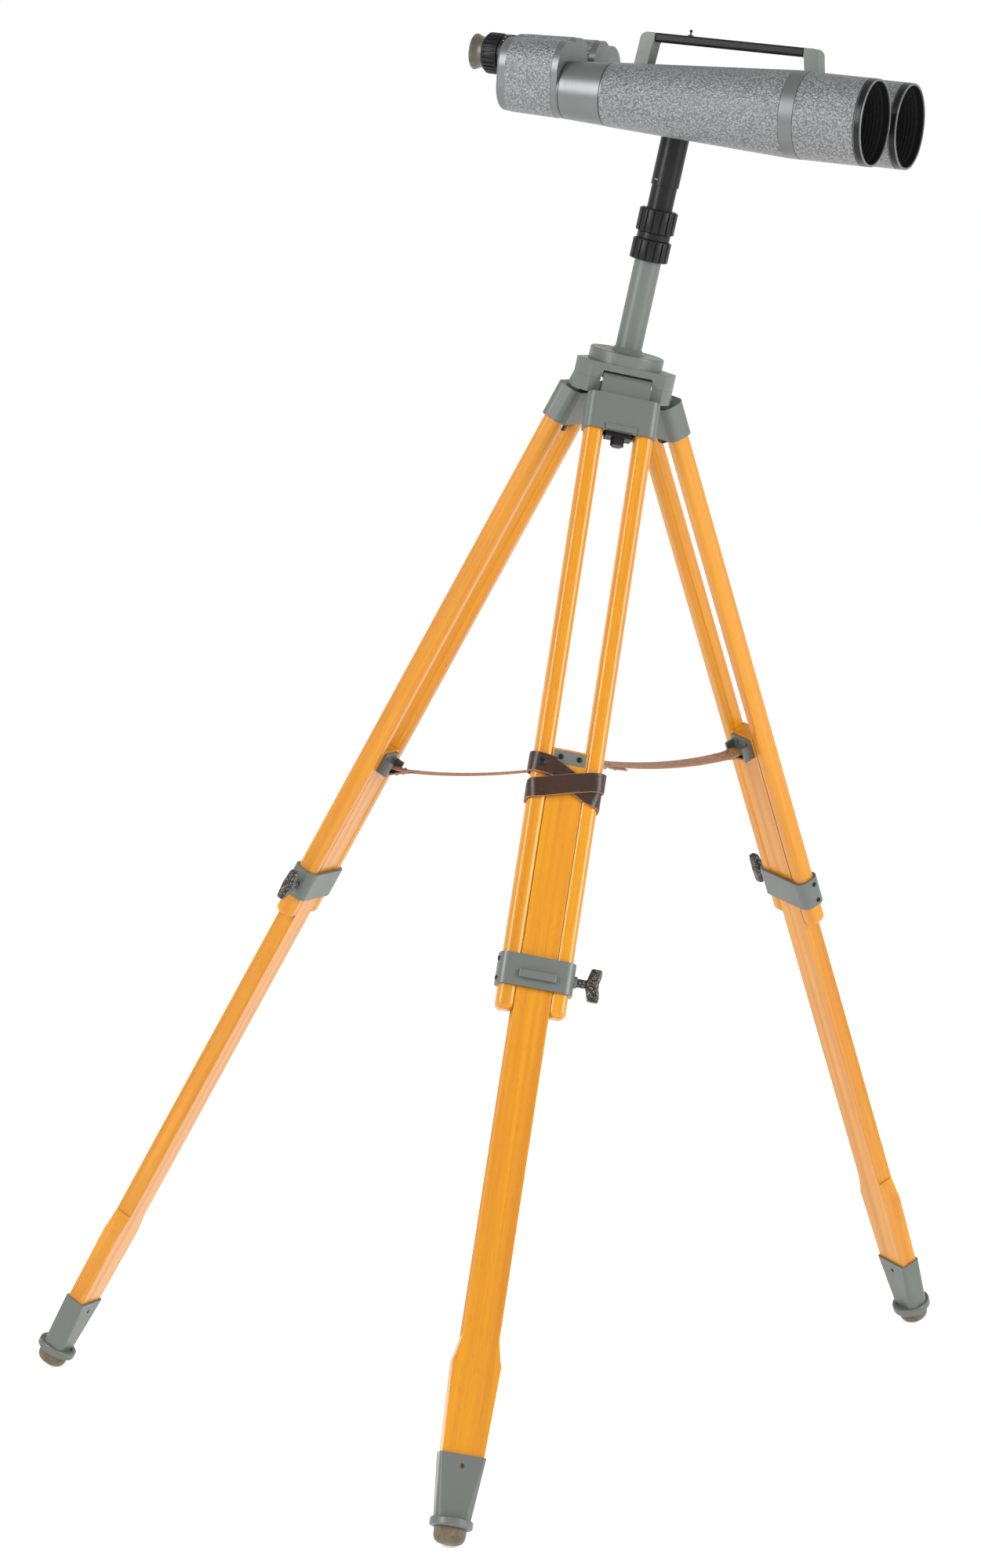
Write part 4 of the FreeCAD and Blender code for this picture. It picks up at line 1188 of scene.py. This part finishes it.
def studio_camera():
    data = bpy.data.cameras.new("camera")
    data.lens = sizes().lens
    data.sensor_width = 36.0
    data.clip_end = 200.0
    camera = bpy.data.objects.new("camera", data)
    turn = Euler(sizes().camera_turn).to_matrix().to_4x4() @ Matrix.Rotation(sizes().camera_roll, 4, "Z")
    camera.matrix_world = Matrix.Translation(HEAD.translation + Vector(sizes().camera_offset)) @ turn
    bpy.context.scene.collection.objects.link(camera)
    bpy.context.scene.camera = camera


def build_stage():
    studio_camera()
    studio_world()
    studio_floor()
    aim = (0.1, 0, 0.95)
    area_light("key_left", (-1.6, -3.2, 2.6), aim, (1.0, 2.4), 125)
    area_light("side_right", (3.6, -0.3, 1.8), aim, (1.6, 2.0), 105)
    bpy.context.scene.view_settings.view_transform = "Standard"


# ---- operators ----
class BuildOperator:
    """Shared run of a building step."""
    bl_options = {"REGISTER", "UNDO"}
    steps = ()

    def execute(self, context):
        for step in self.steps:
            step()
        return {"FINISHED"}


class BINOCULAR_OT_stage(BuildOperator, bpy.types.Operator):
    """Camera, soft lights and pale floor"""
    bl_idname = "binocular.stage"
    bl_label = "Studio Stage"
    steps = (build_stage,)


class BINOCULAR_OT_finishes(BuildOperator, bpy.types.Operator):
    """Materials and the trees for repeated details"""
    bl_idname = "binocular.finishes"
    bl_label = "Finishes"

    def execute(self, context):
        make_finishes()
        TREES["repeat_round"] = round_tree()
        TREES["fasteners"] = fastener_tree()
        return {"FINISHED"}


class BINOCULAR_OT_head(BuildOperator, bpy.types.Operator):
    """Platform, clamp plate, stem, centre bolt and hinge pins"""
    bl_idname = "binocular.head"
    bl_label = "Tripod Head"
    steps = (build_head,)


class BINOCULAR_OT_column(BuildOperator, bpy.types.Operator):
    """Column, sleeve and ribbed lock rings"""
    bl_idname = "binocular.column"
    bl_label = "Column"
    steps = (build_column,)


class BINOCULAR_OT_legs(BuildOperator, bpy.types.Operator):
    """Sockets with their nuts, stiles, boards, clamp bands, shoes and feet"""
    bl_idname = "binocular.legs"
    bl_label = "Legs"
    steps = (build_legs,)


class BINOCULAR_OT_wing_screws(BuildOperator, bpy.types.Operator):
    """Wing screws of the leg clamps"""
    bl_idname = "binocular.wing_screws"
    bl_label = "Wing Screws"
    steps = (build_wing_screws,)


class BINOCULAR_OT_leg_screws(BuildOperator, bpy.types.Operator):
    """Small screws of the legs"""
    bl_idname = "binocular.leg_screws"
    bl_label = "Leg Screws"
    steps = (build_leg_screws,)


class BINOCULAR_OT_spreader(BuildOperator, bpy.types.Operator):
    """Leather spreader straps and their ring"""
    bl_idname = "binocular.spreader"
    bl_label = "Spreader Straps"
    steps = (build_spreader,)


class BINOCULAR_OT_binding_strap(BuildOperator, bpy.types.Operator):
    """Leather strap wound round one leg"""
    bl_idname = "binocular.binding_strap"
    bl_label = "Binding Strap"
    steps = (build_binding_strap,)


class BINOCULAR_OT_tubes(BuildOperator, bpy.types.Operator):
    """Coverings, rims and linings of the tubes and dew shields"""
    bl_idname = "binocular.tubes"
    bl_label = "Tubes"
    steps = (build_tubes,)


class BINOCULAR_OT_housings(BuildOperator, bpy.types.Operator):
    """Prism housings and their covering"""
    bl_idname = "binocular.housings"
    bl_label = "Prism Housings"
    steps = (build_housings,)


class BINOCULAR_OT_eyepieces(BuildOperator, bpy.types.Operator):
    """Ribbed focus rings, scale rings and eyecups"""
    bl_idname = "binocular.eyepieces"
    bl_label = "Eyepieces"
    steps = (build_eyepieces,)


class BINOCULAR_OT_mount(BuildOperator, bpy.types.Operator):
    """Saddle, cross webs, carrying handle and sight"""
    bl_idname = "binocular.mount"
    bl_label = "Mount and Handle"
    steps = (build_mount,)


OPERATORS = (
    BINOCULAR_OT_stage, BINOCULAR_OT_finishes, BINOCULAR_OT_head, BINOCULAR_OT_column, BINOCULAR_OT_legs,
    BINOCULAR_OT_wing_screws, BINOCULAR_OT_leg_screws, BINOCULAR_OT_spreader, BINOCULAR_OT_binding_strap,
    BINOCULAR_OT_tubes, BINOCULAR_OT_housings, BINOCULAR_OT_eyepieces, BINOCULAR_OT_mount,
)


class BINOCULAR_PT_panel(bpy.types.Panel):
    """Lists the settings and the building steps"""
    bl_idname = "BINOCULAR_PT_panel"
    bl_label = "Observation Binoculars"
    bl_space_type = "VIEW_3D"
    bl_region_type = "UI"
    bl_category = "Binoculars"

    def draw(self, context):
        layout = self.layout
        for group in (context.scene.binocular_colours, context.scene.binocular_sizes):
            box = layout.box()
            for name in group.__annotations__:
                box.prop(group, name)
        for operator in OPERATORS:
            layout.operator(operator.bl_idname)


CLASSES = (BinocularColours, BinocularSizes, *OPERATORS, BINOCULAR_PT_panel)


def register():
    for cls in CLASSES:
        bpy.utils.register_class(cls)
    bpy.types.Scene.binocular_colours = PointerProperty(type=BinocularColours)
    bpy.types.Scene.binocular_sizes = PointerProperty(type=BinocularSizes)


def unregister():
    del bpy.types.Scene.binocular_sizes
    del bpy.types.Scene.binocular_colours
    for cls in reversed(CLASSES):
        bpy.utils.unregister_class(cls)


def main():
    register()
    for operator in OPERATORS:
        group, name = operator.bl_idname.split(".")
        getattr(getattr(bpy.ops, group), name)()


if __name__ == "__main__":
    main()
